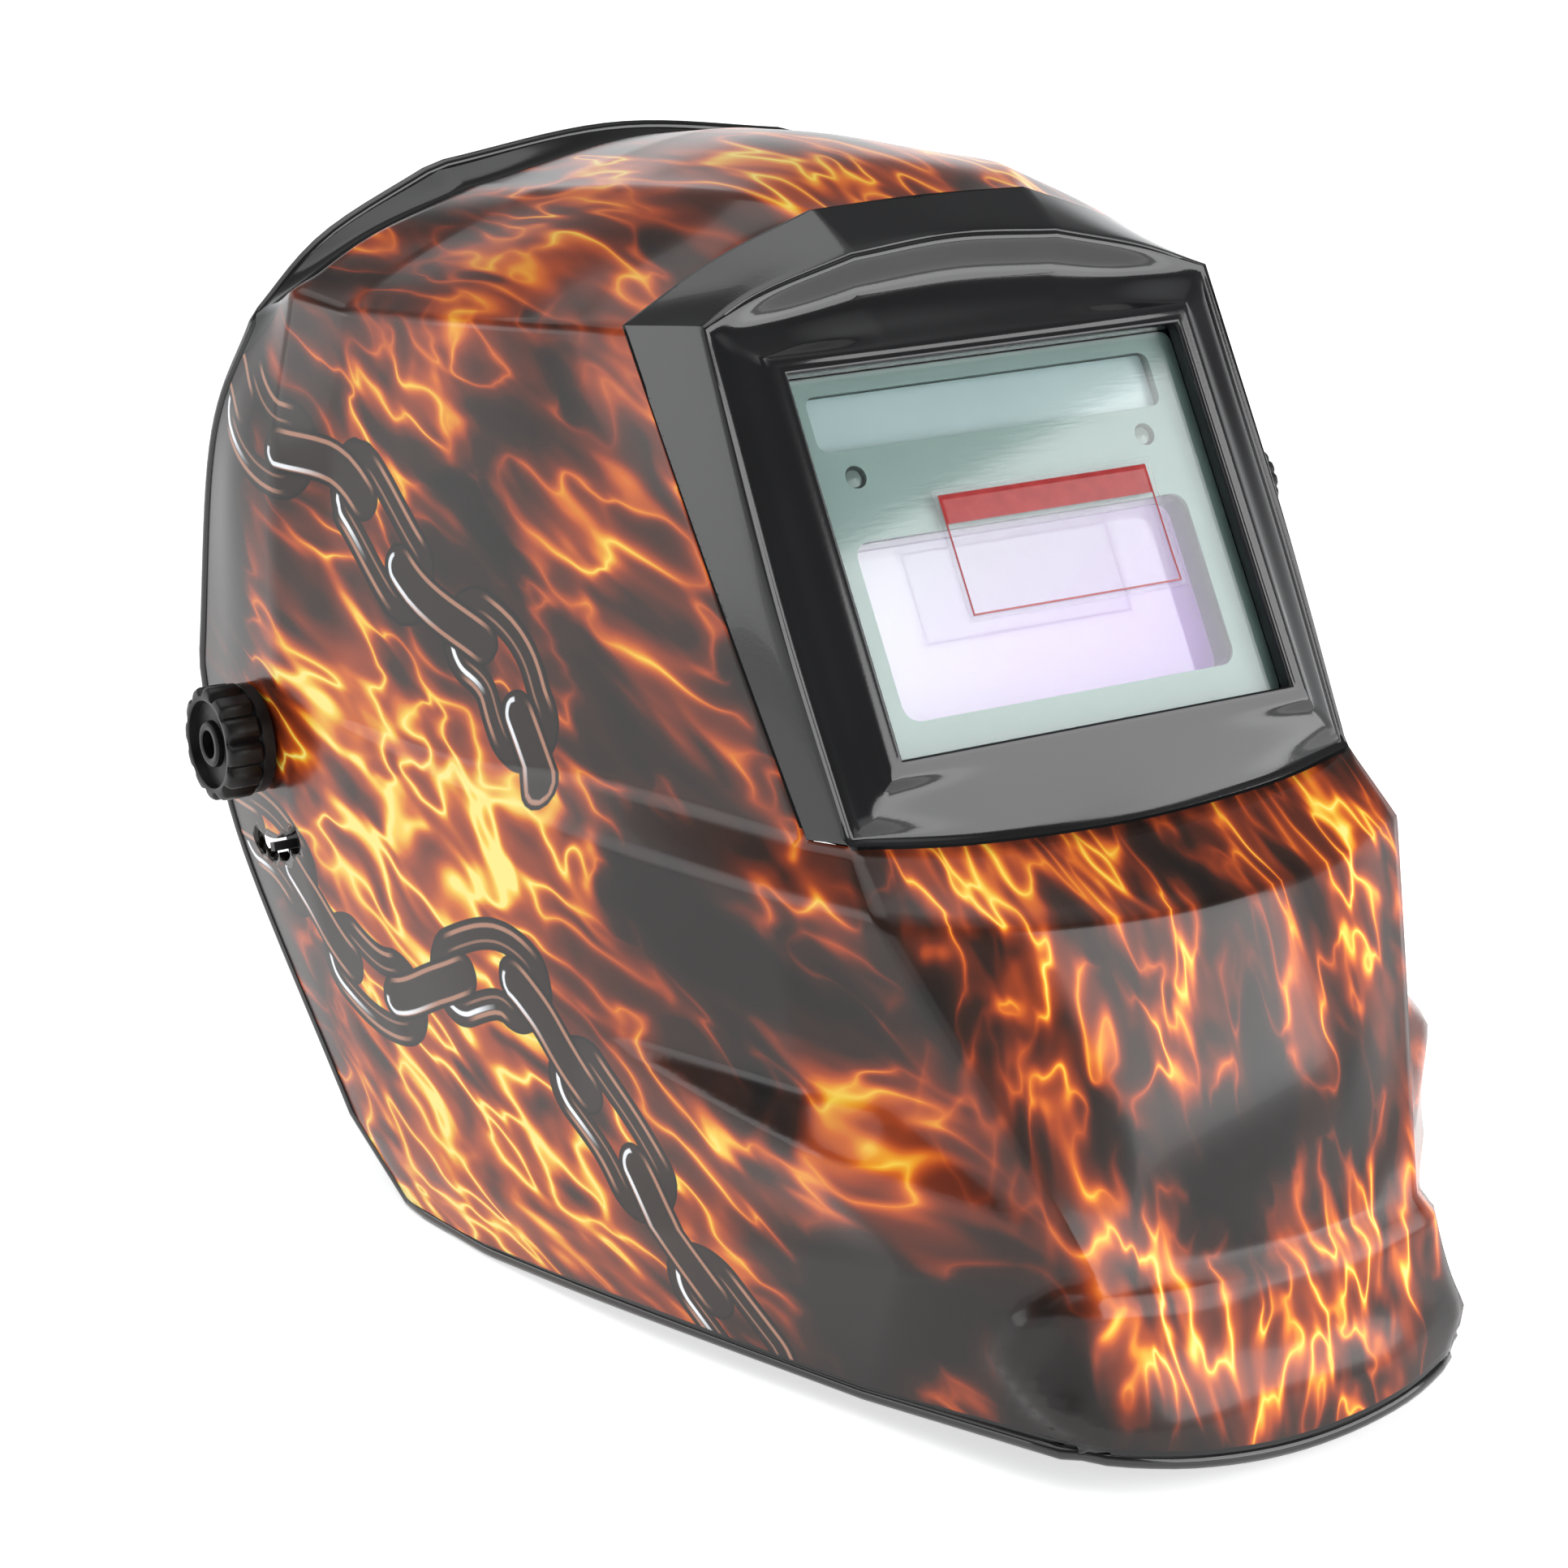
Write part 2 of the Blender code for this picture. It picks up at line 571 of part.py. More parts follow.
def frame_plate(name, width, height, depth, inner_width, inner_height, front):
    """A rectangular frame in the visor plane, centred on the cartridge."""
    hole = rounded_rectangle(inner_width, inner_height, 2.5)
    return plate(name, SATIN_BLACK, width, height, depth, front, FILTER_MIDDLE, corner=3.0,
                 holes=[hole[::-1]])


def lug(name, outline, width, x):
    """A hinge ear in the visor's Y-Z plane about the retainer's pin."""
    mesh = outline_mesh(name, outline, width, [arc(PIN_RADIUS + GAP, 0, 340, 18)[::-1]])
    mesh.transform(TO_SIDE)
    return place(mesh, name, SATIN_BLACK, VISOR, (x, PIN_DEPTH, PIN_Z))


def make_holder():
    """Holder round the cartridge and the retainer behind it, which swings down on a pin."""
    holder = frame_plate("filter_holder", 118.0, 98.0, HOLDER_DEPTH, FILTER_WIDTH + 0.8,
                         FILTER_HEIGHT + 0.8, RETAINER_FRONT - GAP - HOLDER_DEPTH)
    retainer = frame_plate("filter_retainer", 117.0, 97.0, RETAINER_DEPTH, 100.0, 82.0, RETAINER_FRONT)
    thumb_tab = box_mesh("thumb_tab", (18.0, RETAINER_DEPTH, 6.0), bevel=0.6)
    join(retainer, place(thumb_tab, "thumb_tab", SATIN_BLACK, VISOR,
                         (0, PIN_DEPTH, FILTER_MIDDLE + 48.5 + 1.5)))
    ear = [(-8.0, 4.2), (-2.2, 4.2)] + arc(3.0, 137, -90, 12)
    knuckle = [(-1.2, 4.6)] + arc(3.0, 114, 426, 17) + [(1.2, 4.6)]
    for side, word in SIDES:
        join(holder, lug(f"holder_lug_{word}", ear, 4.0, side * 28.0))
        join(retainer, lug(f"retainer_lug_{word}", knuckle, 12.0, side * 18.0))
    turned("retainer_pin", STEEL, [(0, -31), (PIN_RADIUS, -31), (PIN_RADIUS, 31), (0, 31)], "X", 16,
           VISOR, (0, PIN_DEPTH, PIN_Z))
    move_origin(retainer, (0, PIN_DEPTH, PIN_Z))


def make_controls():
    """Sensitivity and delay knobs and the test button on the cartridge's back."""
    for name, x in (("sensitivity_knob", -CONTROL_X), ("delay_knob", CONTROL_X)):
        profile = [(0, -2.2), (3.0, -2.2), (3.0, 0.35), (5.4, 0.35), (5.4, 4.4), (4.9, 5.0), (0, 5.0)]
        knob = turned(name, SATIN_BLACK, profile, "Y", 28, VISOR, (x, BACK_OF_FILTER, CONTROL_Z))
        cut(knob, block(f"{name}_slot", (1.4, 2.0, 8.0), (x, BACK_OF_FILTER + 5.2, CONTROL_Z)))
    profile = [(0, -1.6), (2.2, -1.6), (2.2, 2.1), (1.8, 2.6), (0, 2.6)]
    turned("test_button", RED, profile, "Y", 24, VISOR, (0, BACK_OF_FILTER, CONTROL_Z))


def make_shade_control():
    """Outside shade knob, its potentiometer inside the shell and the cable to the cartridge."""
    profile = [(0, 3.7), (10.6, 3.7), (11.0, 4.3), (11.0, 9.8), (10.2, 10.8), (0, 10.8)]
    knob = turned("shade_knob", SATIN_BLACK, profile, "X", 36, location=SHADE_HOLE)
    cut(knob, turned("shade_bore", SATIN_BLACK, [(0, -2), (3.2, -2), (3.2, 8.0), (0, 8.0)], "X", 20,
                     location=SHADE_HOLE))
    body = [(0, -14.5), (8.2, -14.5), (8.2, -6.6), (3.4, -6.6), (3.4, 1.4), (2.8, 1.4), (2.8, 7.6),
            (0, 7.6)]
    turned("shade_potentiometer", STEEL, body, "X", 24, location=SHADE_HOLE)
    route = [(67.6, 20.0, -48.0), (64.5, 20.5, -48.5), (61.5, 18.5, -50.0), (60.0, 14.0, -52.0),
             (60.2, 9.0, -53.5), (60.4, 4.0, -53.2), (60.5, -1.0, -52.0)]
    smooth = spline_weights(len(route), set(), 3) @ np.array(route)
    curve = bpy.data.curves.new("shade_cable", "CURVE")
    curve.dimensions = "3D"
    curve.bevel_depth = 1.1 * MM
    curve.bevel_resolution = 2
    curve.use_fill_caps = True
    spline = curve.splines.new("POLY")
    spline.points.add(len(smooth) - 1)
    for point, spot in zip(spline.points, smooth):
        point.co = (*(spot * MM), 1)
    holder = bpy.data.objects.new("shade_cable", curve)
    part_collection.objects.link(holder)
    place(mesh_of(holder, "shade_cable"), "shade_cable", STRAP_BLACK)


# ---------------------------------------------------------------- pivots


def knob_outline(flutes=12):
    points = []
    for flute in range(flutes):
        for step, reach in ((0.0, 0.0), (0.18, -1.0), (0.5, -1.7), (0.82, -1.0)):
            angle = 360.0 * (flute + step) / flutes
            points += arc(KNOB_RADIUS + reach, angle, angle, 1)
    return points


def make_pivot(side, word):
    """Tension knob outside, bolt and friction washer inside, all along the tilt axis."""
    spot = (side * PIVOT_WALL, PIVOT_Y, PIVOT_Z)
    # local X points outwards from the shell's outer face
    turn = 180.0 if side < 0 else 0.0

    def ring(name, look, profile, steps):
        return turned(f"{name}_{word}", look, profile, "X", steps, location=spot, turn=turn)

    grip = outline_mesh("tension_knob", knob_outline(), KNOB_LENGTH - KNOB_BASE)
    grip.transform(TO_SIDE)
    grip.transform(Matrix.Translation(Vector((0.8 + (KNOB_LENGTH + KNOB_BASE) / 2, 0, 0)) * MM))
    knob = place(grip, f"tension_knob_{word}", SATIN_BLACK, location=spot, rotation=(0, 0, turn))
    base_end = 0.8 + KNOB_BASE + 0.2
    join(knob, ring("knob_base", SATIN_BLACK, [(0, 0.8), (13.9, 0.8), (13.9, base_end), (0, base_end)], 40))
    cut(knob, ring("knob_recess", SATIN_BLACK, [(5.6, 7.6), (10.9, 7.6), (11.2, 20), (5.2, 20)], 32))
    cut(knob, ring("knob_bore", SATIN_BLACK, [(0, -4), (3.5, -4), (3.5, 20), (0, 20)], 20))
    bolt = [(0, -15.6), (7.6, -15.6), (8.0, -15.0), (8.0, -12.3), (3.0, -12.3), (3.0, 9.0), (2.4, 9.6),
            (0, 9.6)]
    ring("pivot_bolt", STEEL, bolt, 28)
    ring("friction_washer", STRAP_BLACK, [(4.0, -4.7), (13.0, -4.7), (13.0, -3.3), (4.0, -3.3)], 32)


def make_stop_arm():
    """Lever on the tilt axis, inside the shell on the wearer's right, with a tab in the slot."""
    blade = arc(9.0, 40, 320, 15)
    blade += [(SLOT_RADIUS + 3.0, -5.0), (SLOT_RADIUS + 4.0, 0.0), (SLOT_RADIUS + 3.0, 5.0)]
    mesh = outline_mesh("tilt_stop_arm", blade, 2.4, [arc(4.2, 0, 342, 20)[::-1]])
    mesh.transform(TO_SIDE)
    spot = (-PIVOT_WALL + 7.1, PIVOT_Y, PIVOT_Z)
    arm = place(mesh, "tilt_stop_arm", STRAP_BLACK, location=spot, rotation=(SLOT_MIDDLE, 0, 0))
    join(arm, place(box_mesh("stop_tab", (7.0, 2.2, 2.4)), "stop_tab", STRAP_BLACK, arm,
                    (-4.0, SLOT_RADIUS - 0.5, 0)))


# ---------------------------------------------------------------- headgear, in the head's frame


def strap_mesh(name, path, height, thickness):
    """A flat strap along a path in the X-Y plane, standing on edge about Z = 0."""
    path = np.array(path, dtype=float)
    tangent = np.gradient(path, axis=0)
    tangent /= np.linalg.norm(tangent, axis=1, keepdims=True)
    normal = np.stack([tangent[:, 1], -tangent[:, 0]], axis=1) * thickness / 2
    outline = np.concatenate([path + normal, (path - normal)[::-1]])
    return outline_mesh(name, [tuple(point) for point in outline], height)


def ellipse_arc(side_radius, front_radius, start, end, steps):
    """Part of an ellipse about the headband's centre, in the head's X-Y plane."""
    angles = np.radians(np.linspace(start, end, steps))
    return [(side_radius * math.cos(a), BAND_CENTRE_Y + front_radius * math.sin(a)) for a in angles]


def make_headband():
    """Forehead band with its sweatband, and the two rear straps that slide through each other."""
    level = (0, 0, BAND_LEVEL)
    band = ellipse_arc(BAND_RADIUS, BAND_RADIUS, 160, 180, 4)[:-1]
    band += ellipse_arc(BAND_RADIUS, BAND_FRONT, 180, 360, 29)
    band += ellipse_arc(BAND_RADIUS, BAND_RADIUS, 0, 20, 4)[1:]
    place(strap_mesh("headband_front", band, 26.0, STRAP_THICKNESS), "headband_front", STRAP_BLACK,
          HEAD, level)
    pad = ellipse_arc(BAND_RADIUS - 5.2, BAND_FRONT - 5.2, 215, 325, 19)
    place(strap_mesh("sweatband", pad, 34.0, 6.0), "sweatband", FOAM, HEAD, level)

    for word, radius, side in (("left", LEFT_STRAP_RADIUS, 1), ("right", RIGHT_STRAP_RADIUS, -1)):
        # the strap's origin is on the head's vertical axis, about which it slides round
        name = f"rear_strap_{word}"
        centre = (0, BAND_CENTRE_Y, BAND_LEVEL)
        path = [(side * x, y) for x, y in arc(radius, 2, 112, 27)]
        strap = place(strap_mesh(name, path, STRAP_HEIGHT, STRAP_THICKNESS), name, STRAP_BLACK, HEAD,
                      centre)
        path = [(side * x, y) for x, y in arc(radius, 68, 110, 13)]
        cut(strap, place(strap_mesh(f"{name}_slot", path, 13.0, 8.0), f"{name}_slot", STRAP_BLACK,
                         HEAD, centre))


def make_ratchet():
    """Curved housing over the straps' overlap, with pinion and knob on the rear axis."""
    centre = (0, BAND_CENTRE_Y, BAND_LEVEL)
    housing = place(outline_mesh("ratchet_housing", arc(84.4, 66, 114, 17) + arc(70.0, 114, 66, 17), 30.0),
                    "ratchet_housing", SATIN_BLACK, HEAD, centre)
    passage = outline_mesh("strap_passage", arc(80.4, 60, 120, 21) + arc(72.6, 120, 60, 21),
                           STRAP_HEIGHT + 1.6)
    cut(housing, place(passage, "strap_passage", SATIN_BLACK, HEAD, centre))
    cut(housing, turned("shaft_hole", SATIN_BLACK, [(0, 76), (3.6, 76), (3.6, 90), (0, 90)], "Y", 24,
                        HEAD, centre))
    pinion = [(0, 73.3), (5.6, 73.3), (5.6, 79.9), (3.2, 79.9), (3.2, 88.0), (0, 88.0)]
    turned("ratchet_pinion", SATIN_BLACK, pinion, "Y", 24, HEAD, centre)
    grip = []
    for lobe in range(10):
        for step, reach in ((0.0, 0.0), (0.3, -0.4), (0.5, -1.8), (0.7, -0.4)):
            angle = 36.0 * (lobe + step)
            grip += arc(RATCHET_KNOB_RADIUS + reach, angle, angle, 1)
    mesh = outline_mesh("ratchet_knob", grip, 13.0)
    mesh.transform(Matrix.Rotation(math.radians(90), 4, "X"))
    spot = (0, BAND_CENTRE_Y + 85.0 + 6.5, BAND_LEVEL)
    knob = place(mesh, "ratchet_knob", SATIN_BLACK, HEAD, spot)
    cut(knob, turned("grip_bore", SATIN_BLACK, [(0, -9), (3.6, -9), (3.6, -2.6), (0, -2.6)], "Y", 20,
                     HEAD, spot))
    pad = arc(69.6, 70, 110, 13) + arc(63.6, 110, 70, 13)
    place(outline_mesh("rear_pad", pad, 32.0), "rear_pad", FOAM, HEAD, centre)


def make_crown():
    """Two straps over the head, joined by a snap stud at the top."""
    centre = (0, BAND_CENTRE_Y, BAND_LEVEL)
    for word, radius, side in (("left", 86.7, 1), ("right", 83.7, -1)):
        name = f"crown_strap_{word}"
        squeeze = (radius - CROWN_RISE) / radius
        path = [(radius, -9), (radius, 0)]
        path += [(x, CROWN_RISE + y * squeeze) for x, y in arc(radius, 0, 97, 25)]
        mesh = strap_mesh(name, [(side * x, y) for x, y in path], 18.0, 2.0)
        mesh.transform(Matrix.Rotation(math.radians(90), 4, "X"))
        strap = place(mesh, name, STRAP_BLACK, HEAD, centre)
        cut(strap, turned(f"stud_drill_{word}", STRAP_BLACK, [(0, 70), (2.6, 70), (2.6, 100), (0, 100)],
                          "Z", 20, HEAD, centre))
    stud = [(0, 81.0), (4.4, 81.0), (4.4, 82.1), (2.2, 82.1), (2.2, 87.9), (4.4, 87.9), (4.4, 89.2),
            (0, 89.2)]
    turned("crown_stud", SATIN_BLACK, stud, "Z", 24, HEAD, centre)


def make_brackets():
    """Arms from the pivots up to slotted pads, and the studs of the headband that ride in them."""
    foot = PIVOT_WALL - 8.8
    for side, word in SIDES:
        outline = [(foot, -13), (foot, 14), (BRACKET_PAD + 2.8, 28), (BRACKET_PAD + 2.8, BAND_LEVEL + 13)]
        outline += [(BRACKET_PAD, BAND_LEVEL + 13), (BRACKET_PAD, 26.6), (foot - 3.0, 12.6)]
        outline += [(foot - 3.0, -13)]
        mesh = outline_mesh("pivot_bracket", [(side * x, z) for x, z in outline], 30.0)
        mesh.transform(Matrix.Rotation(math.radians(90), 4, "X"))
        bracket = place(mesh, f"pivot_bracket_{word}", STRAP_BLACK, HEAD, (0, BRACKET_Y, 0))
        cut(bracket, turned(f"bracket_hole_{word}", STRAP_BLACK, [(0, -20), (3.5, -20), (3.5, 20), (0, 20)],
                            "X", 20, HEAD, (side * foot, 0, 0)))
        slot = place(box_mesh(f"pad_slot_{word}", (20, SLIDE_TRAVEL + 5.2, 5.2), bevel=0.0),
                     f"pad_slot_{word}", STRAP_BLACK, HEAD, (side * BRACKET_PAD, BRACKET_Y, BAND_LEVEL))
        cut(bracket, slot)
        pad = BRACKET_PAD
        stud = [(0, 81.0), (4.2, 81.0), (4.2, pad - 0.4), (2.1, pad - 0.4), (2.1, pad + 3.2),
                (4.2, pad + 3.2), (4.2, pad + 4.6), (0, pad + 4.6)]
        turned(f"slide_stud_{word}", SATIN_BLACK, stud, "X", 24, HEAD, (0, BRACKET_Y, BAND_LEVEL),
               180.0 if side < 0 else 0.0)


make_shell()
make_visor_frame()
make_filter()
make_holder()
make_controls()
make_shade_control()
for pivot_side, pivot_word in SIDES:
    make_pivot(pivot_side, pivot_word)
make_stop_arm()
make_headband()
make_ratchet()
make_crown()
make_brackets()
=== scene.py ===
"""Looks of the solar auto-darkening welding helmet.

Sizes are in millimetres and turned into metres by MM. Points of the shell and the visor are
given from the datum, the middle of the window's top edge on the visor's face.
"""

import math

import bmesh
import bpy
import numpy as np
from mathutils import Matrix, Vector

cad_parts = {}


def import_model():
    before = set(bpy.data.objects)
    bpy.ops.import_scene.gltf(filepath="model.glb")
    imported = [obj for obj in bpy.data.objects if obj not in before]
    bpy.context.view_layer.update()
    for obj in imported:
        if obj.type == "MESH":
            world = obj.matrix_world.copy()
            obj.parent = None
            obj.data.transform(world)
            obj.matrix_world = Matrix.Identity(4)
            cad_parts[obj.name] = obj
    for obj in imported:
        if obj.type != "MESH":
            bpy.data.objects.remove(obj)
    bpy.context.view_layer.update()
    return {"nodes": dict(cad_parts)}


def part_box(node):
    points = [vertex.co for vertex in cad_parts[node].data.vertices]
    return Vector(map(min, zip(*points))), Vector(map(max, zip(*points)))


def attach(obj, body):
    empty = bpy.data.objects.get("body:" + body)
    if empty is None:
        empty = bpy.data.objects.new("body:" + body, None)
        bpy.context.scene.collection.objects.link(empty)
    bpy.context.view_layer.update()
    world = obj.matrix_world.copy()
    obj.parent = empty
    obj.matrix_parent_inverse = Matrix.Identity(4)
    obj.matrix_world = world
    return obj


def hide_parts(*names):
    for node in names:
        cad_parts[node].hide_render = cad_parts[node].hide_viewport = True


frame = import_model()

# ---- driving dimensions

MM = 0.001
DATUM = np.array([0.0, -78.96, 223.0])
WINDOW_WIDTH = 106.0
WINDOW_HEIGHT = 88.9
WINDOW_TILT = 31.75
SHELL_THICKNESS = 2.6
PIVOT_Y = 155.0
PIVOT_Z = -114.0
PIVOT_WALL = 113.0
HEAD_TILT = 15.0
BAND_LEVEL = 38.0
BAND_CENTRE_Y = 18.0
BAND_RADIUS = 81.0           # middle radius of the forehead band's ends
BAND_FRONT = 110.0           # half length of its forehead ellipse
SLOT_RADIUS = 28.5
SLOT_MIDDLE = 254.0
SLOT_HALF_ANGLE = 29.0
SLOT_UPPER = 2.4             # reach of the slot's smooth edge from its middle line
SLOT_LOWER = 1.2
SLOT_NOTCHES = 4
NOTCH_DEPTH = 2.4
SHADE_HOLE = (82.5, 20.0, -48.0)
BEAD_RADIUS = 1.75           # rim bead of the shell
BEAD_INSET = 1.2
LENS_GAP = 0.45              # between the shell's edge and the visor frame

# front of the cartridge, in the visor plane
HOUSING_SIZE = (109.6, 89.6)
HOUSING_MIDDLE = -44.45
HOUSING_FACE = 7.35
STRIP_SIZE = (93.6, 13.2)
STRIP_MIDDLE = -10.4
SENSOR_SPOT = (39.5, -23.4)
SENSOR_RADIUS = 2.7
LCD_SIZE = (90.4, 41.8)
LCD_MIDDLE = -59.2
LCD_FRONT = 7.7
LCD_FLOOR = 15.2
LCD_CORNER = 4.0

# blank protective film on the front lens
FILM_SIZE = (59.8, 31.0)
FILM_LEFT = -23.4
FILM_TOP = -29.8
FILM_DEPTH = 4.1
FILM_MARGIN = 1.3            # from the film's edge to its printed outline
FILM_BAND = 6.9              # height of its plain red band

STRAP_THICKNESS = 2.4
STRAP_HEIGHT = 20.0
CROWN_THICKNESS = 2.0
CROWN_START = 14.0           # height above the band at which the crown straps' arc begins
REAR_STRAPS = (("left", 78.0, 1), ("right", 75.0, -1))       # name, radius, side
CROWN_STRAPS = (("left", 86.7, 1), ("right", 83.7, -1))
PAD_VOXEL = 2.4
PAD_SHRINK = 0.9             # the pads start smaller, since the simulation swells them
PAD_CAP = 1.1                # furthest that the simulation may move a point of a pad
PAD_FRAMES = 20
SEW_DEPTH = 0.9
PADS = (                     # piece, node, sewn channels, half angle, middle angle, length over width
    ("sweatband_pad", "sweatband", 8, 48.0, 270.0, 104.8 / 75.8),
    ("nape_pad", "rear_pad", 4, 17.0, 90.0, 1.0),
)

# The same half net as the part's: rows from the rim to the crown, columns from the rear edge
# to the middle of the face.
SHELL_ROWS = [
    [(103, 98, -222), (103, 90, -223), (102, 80, -223), (100, 60, -222), (94, 25, -219.5),
     (86, -10, -217.5), (70, -60, -217), (54, -112, -213), (28, -122.5, -217), (0, -124, -219.5)],
    [(107, 120, -205), (107, 108, -206), (106.5, 95, -206), (105, 72, -205), (100, 35, -201),
     (90, -18, -188.5), (72, -78, -178.5), (44, -108.5, -177), (22, -111.5, -178), (0, -113, -178.5)],
    [(110.5, 171, -149), (111.5, 150, -150), (111.5, 128, -150), (109.5, 100, -150), (104.5, 55, -150),
     (96, 8, -149), (79, -50, -145), (57.5, -87, -141), (30, -99, -142), (0, -103, -142)],
    [(111.5, 189, -112), (113, 166, -110), (113, 140, -107), (109.8, 112, -105), (103, 66, -104.7),
     (94, 20, -106), (79.5, -36, -105.5), (70.7, -65, -105), (40, -79.5, -105.8), (0, -87, -106)],
    [(111.5, 191, -103), (113, 166, -101), (112.8, 140, -98), (109, 112, -98), (101, 70, -98.5),
     (89.5, 25, -93.5), (72, -38, -93), (68.3, -49.4, -92), (40, -56, -94), (0, -59, -94.9)],
    [(110, 181, -43), (112, 163, -45), (110.5, 143, -46), (106, 124, -45), (97, 80, -45),
     (88, 42, -45), (75.5, -7, -45), (70, -21, -44)],
    [(102.5, 170, -11), (101, 159, -6.5), (102, 147, -1.5), (99.5, 126, -2), (92.5, 75, 3.2),
     (82.3, 45, 6.3), (76, 31.4, 7.8), (68.8, 10.4, 10.5)],
    [(83, 170, 7), (78, 159, 7), (80, 148, 10.2), (75, 128, 9.8), (69.5, 79, 17),
     (61, 48, 19.7), (54, 30, 20), (52, 13, 16.6)],
    [(52, 170, 22), (50, 159, 17), (51, 148, 19.8), (52, 116, 23.5), (45, 84, 28.2),
     (38, 50, 31), (29, 28.5, 29.4), (28, 14, 22.4)],
    [(0, 170, 27.7), (0, 159, 24.5), (0, 148, 28.2), (0, 118, 33.5), (0, 85, 36.5),
     (0, 52, 35.5), (0, 28.4, 30), (0, 14.9, 24)],
]
BELT_ROW = 4
DOME_ROW = 6
CROWN_ROW = 9
SEAM = 6
CORNER = 7
MIDDLE = 9
SHARP_ROWS = {1, 3, 4, 6, 8}
SHARP_COLUMNS = {2, 3, SEAM, CORNER}


def world(points):
    """Datum-frame millimetres as world metres."""
    return (np.asarray(points, dtype=float) + DATUM) * MM


def tilted(points, angle, origin=(0.0, 0.0, 0.0)):
    """Points of a frame that leans back by an angle, in the datum frame."""
    lean = math.radians(angle)
    points = np.asarray(points, dtype=float)
    y = points[..., 1] * math.cos(lean) + points[..., 2] * math.sin(lean)
    z = -points[..., 1] * math.sin(lean) + points[..., 2] * math.cos(lean)
    return np.stack([points[..., 0], y, z], axis=-1) + np.array(origin)


def visor(points):
    """Visor-plane points (x, depth, height) in world metres."""
    return world(tilted(points, WINDOW_TILT))


def head(points):
    """Points of the headgear's own frame in world metres."""
    return world(tilted(points, HEAD_TILT, (0, PIVOT_Y, PIVOT_Z)))


def smooth(value):
    value = np.clip(value, 0.0, 1.0)
    return value * value * (3 - 2 * value)


# ---- materials


class Value:
    """A number, vector or colour that a node puts out, ready for arithmetic."""

    def __init__(self, look, socket):
        self.look = look
        self.socket = socket

    def __add__(self, other):
        return self.look.math("ADD", self, other)

    def __sub__(self, other):
        return self.look.math("SUBTRACT", self, other)

    def __rsub__(self, other):
        return self.look.math("SUBTRACT", other, self)

    def __mul__(self, other):
        return self.look.math("MULTIPLY", self, other)

    def __abs__(self):
        return self.look.math("ABSOLUTE", self)

    __radd__ = __add__
    __rmul__ = __mul__

    def step(self, low, high):
        """0 below low, 1 above high, smooth between."""
        return self.look.node("ShaderNodeMapRange", 0, {"Value": self, "From Min": low, "From Max": high},
                              interpolation_type="SMOOTHSTEP")


class Look:
    """The nodes of a material, or of the world, built up by arithmetic on their values."""

    def __init__(self, name, block=None, shader="Principled BSDF"):
        self.material = block or bpy.data.materials.new(name)
        self.material.use_nodes = True
        self.nodes = self.material.node_tree.nodes
        self.links = self.material.node_tree.links
        self.shader = self.nodes[shader]
        self.point = self.node("ShaderNodeTexCoord", "Object", {})

    def feed(self, socket, value):
        if isinstance(value, Value):
            self.links.new(value.socket, socket)
        elif socket.type == "RGBA":
            socket.default_value = (*value[:3], 1.0)
        else:
            socket.default_value = value

    def node(self, kind, output, inputs, **settings):
        """One output of a new node."""
        made = self.nodes.new(kind)
        for key, value in settings.items():
            setattr(made, key, value)
        for key, value in inputs.items():
            self.feed(made.inputs[key], value)
        return Value(self, made.outputs[output])

    def set(self, **values):
        """Values of the shader's sockets, with _ for the spaces in their names."""
        for key, value in values.items():
            self.feed(self.shader.inputs[key.replace("_", " ")], value)

    def math(self, operation, *values):
        return self.node("ShaderNodeMath", 0, dict(enumerate(values)), operation=operation)

    def mapped(self, rotation=(0, 0, 0), scale=(1, 1, 1), shift=(0, 0, 0), kind="POINT"):
        turn = tuple(math.radians(angle) for angle in rotation)
        inputs = {"Vector": self.point, "Location": shift, "Rotation": turn, "Scale": scale}
        return self.node("ShaderNodeMapping", 0, inputs, vector_type=kind)

    def warped(self, vector, amount, scale):
        """The vector pushed about by a slow noise."""
        push = self.node("ShaderNodeTexNoise", "Color", {"Vector": vector, "Scale": scale, "Detail": 1.0})
        return self.node("ShaderNodeVectorMath", 0, {0: push, 1: (amount,) * 3, 2: vector},
                         operation="MULTIPLY_ADD")

    def noise(self, scale, vector=None, detail=2.0, roughness=0.5):
        return self.node("ShaderNodeTexNoise", "Fac", {"Vector": vector or self.point, "Scale": scale,
                                                       "Detail": detail, "Roughness": roughness})

    def attribute(self, name, output="Vector"):
        return self.node("ShaderNodeAttribute", output, {}, attribute_name=name)

    def parts(self, vector):
        """The three numbers of a vector."""
        split = self.nodes.new("ShaderNodeSeparateXYZ")
        self.feed(split.inputs[0], vector)
        return [Value(self, socket) for socket in split.outputs]

    def ramp(self, value, *stops):
        """Colours along a value; each stop is (position, colour)."""
        made = self.nodes.new("ShaderNodeValToRGB")
        self.feed(made.inputs["Fac"], value)
        elements = made.color_ramp.elements
        while len(elements) < len(stops):
            elements.new(0.5)
        for element, (position, colour) in zip(elements, stops):
            element.position = position
            element.color = (*colour, 1.0)
        return Value(self, made.outputs["Color"])

    def mix(self, factor, first, second):
        return self.node("ShaderNodeMix", 2, {0: factor, 6: first, 7: second}, data_type="RGBA")

    def bump(self, height, distance, strength):
        """Relief of a height in millimetres."""
        inputs = {"Height": height, "Distance": distance * MM, "Strength": strength}
        self.set(Normal=self.node("ShaderNodeBump", 0, inputs))


def tinted(colour, factor):
    return tuple(min(1.0, part * factor) for part in colour)


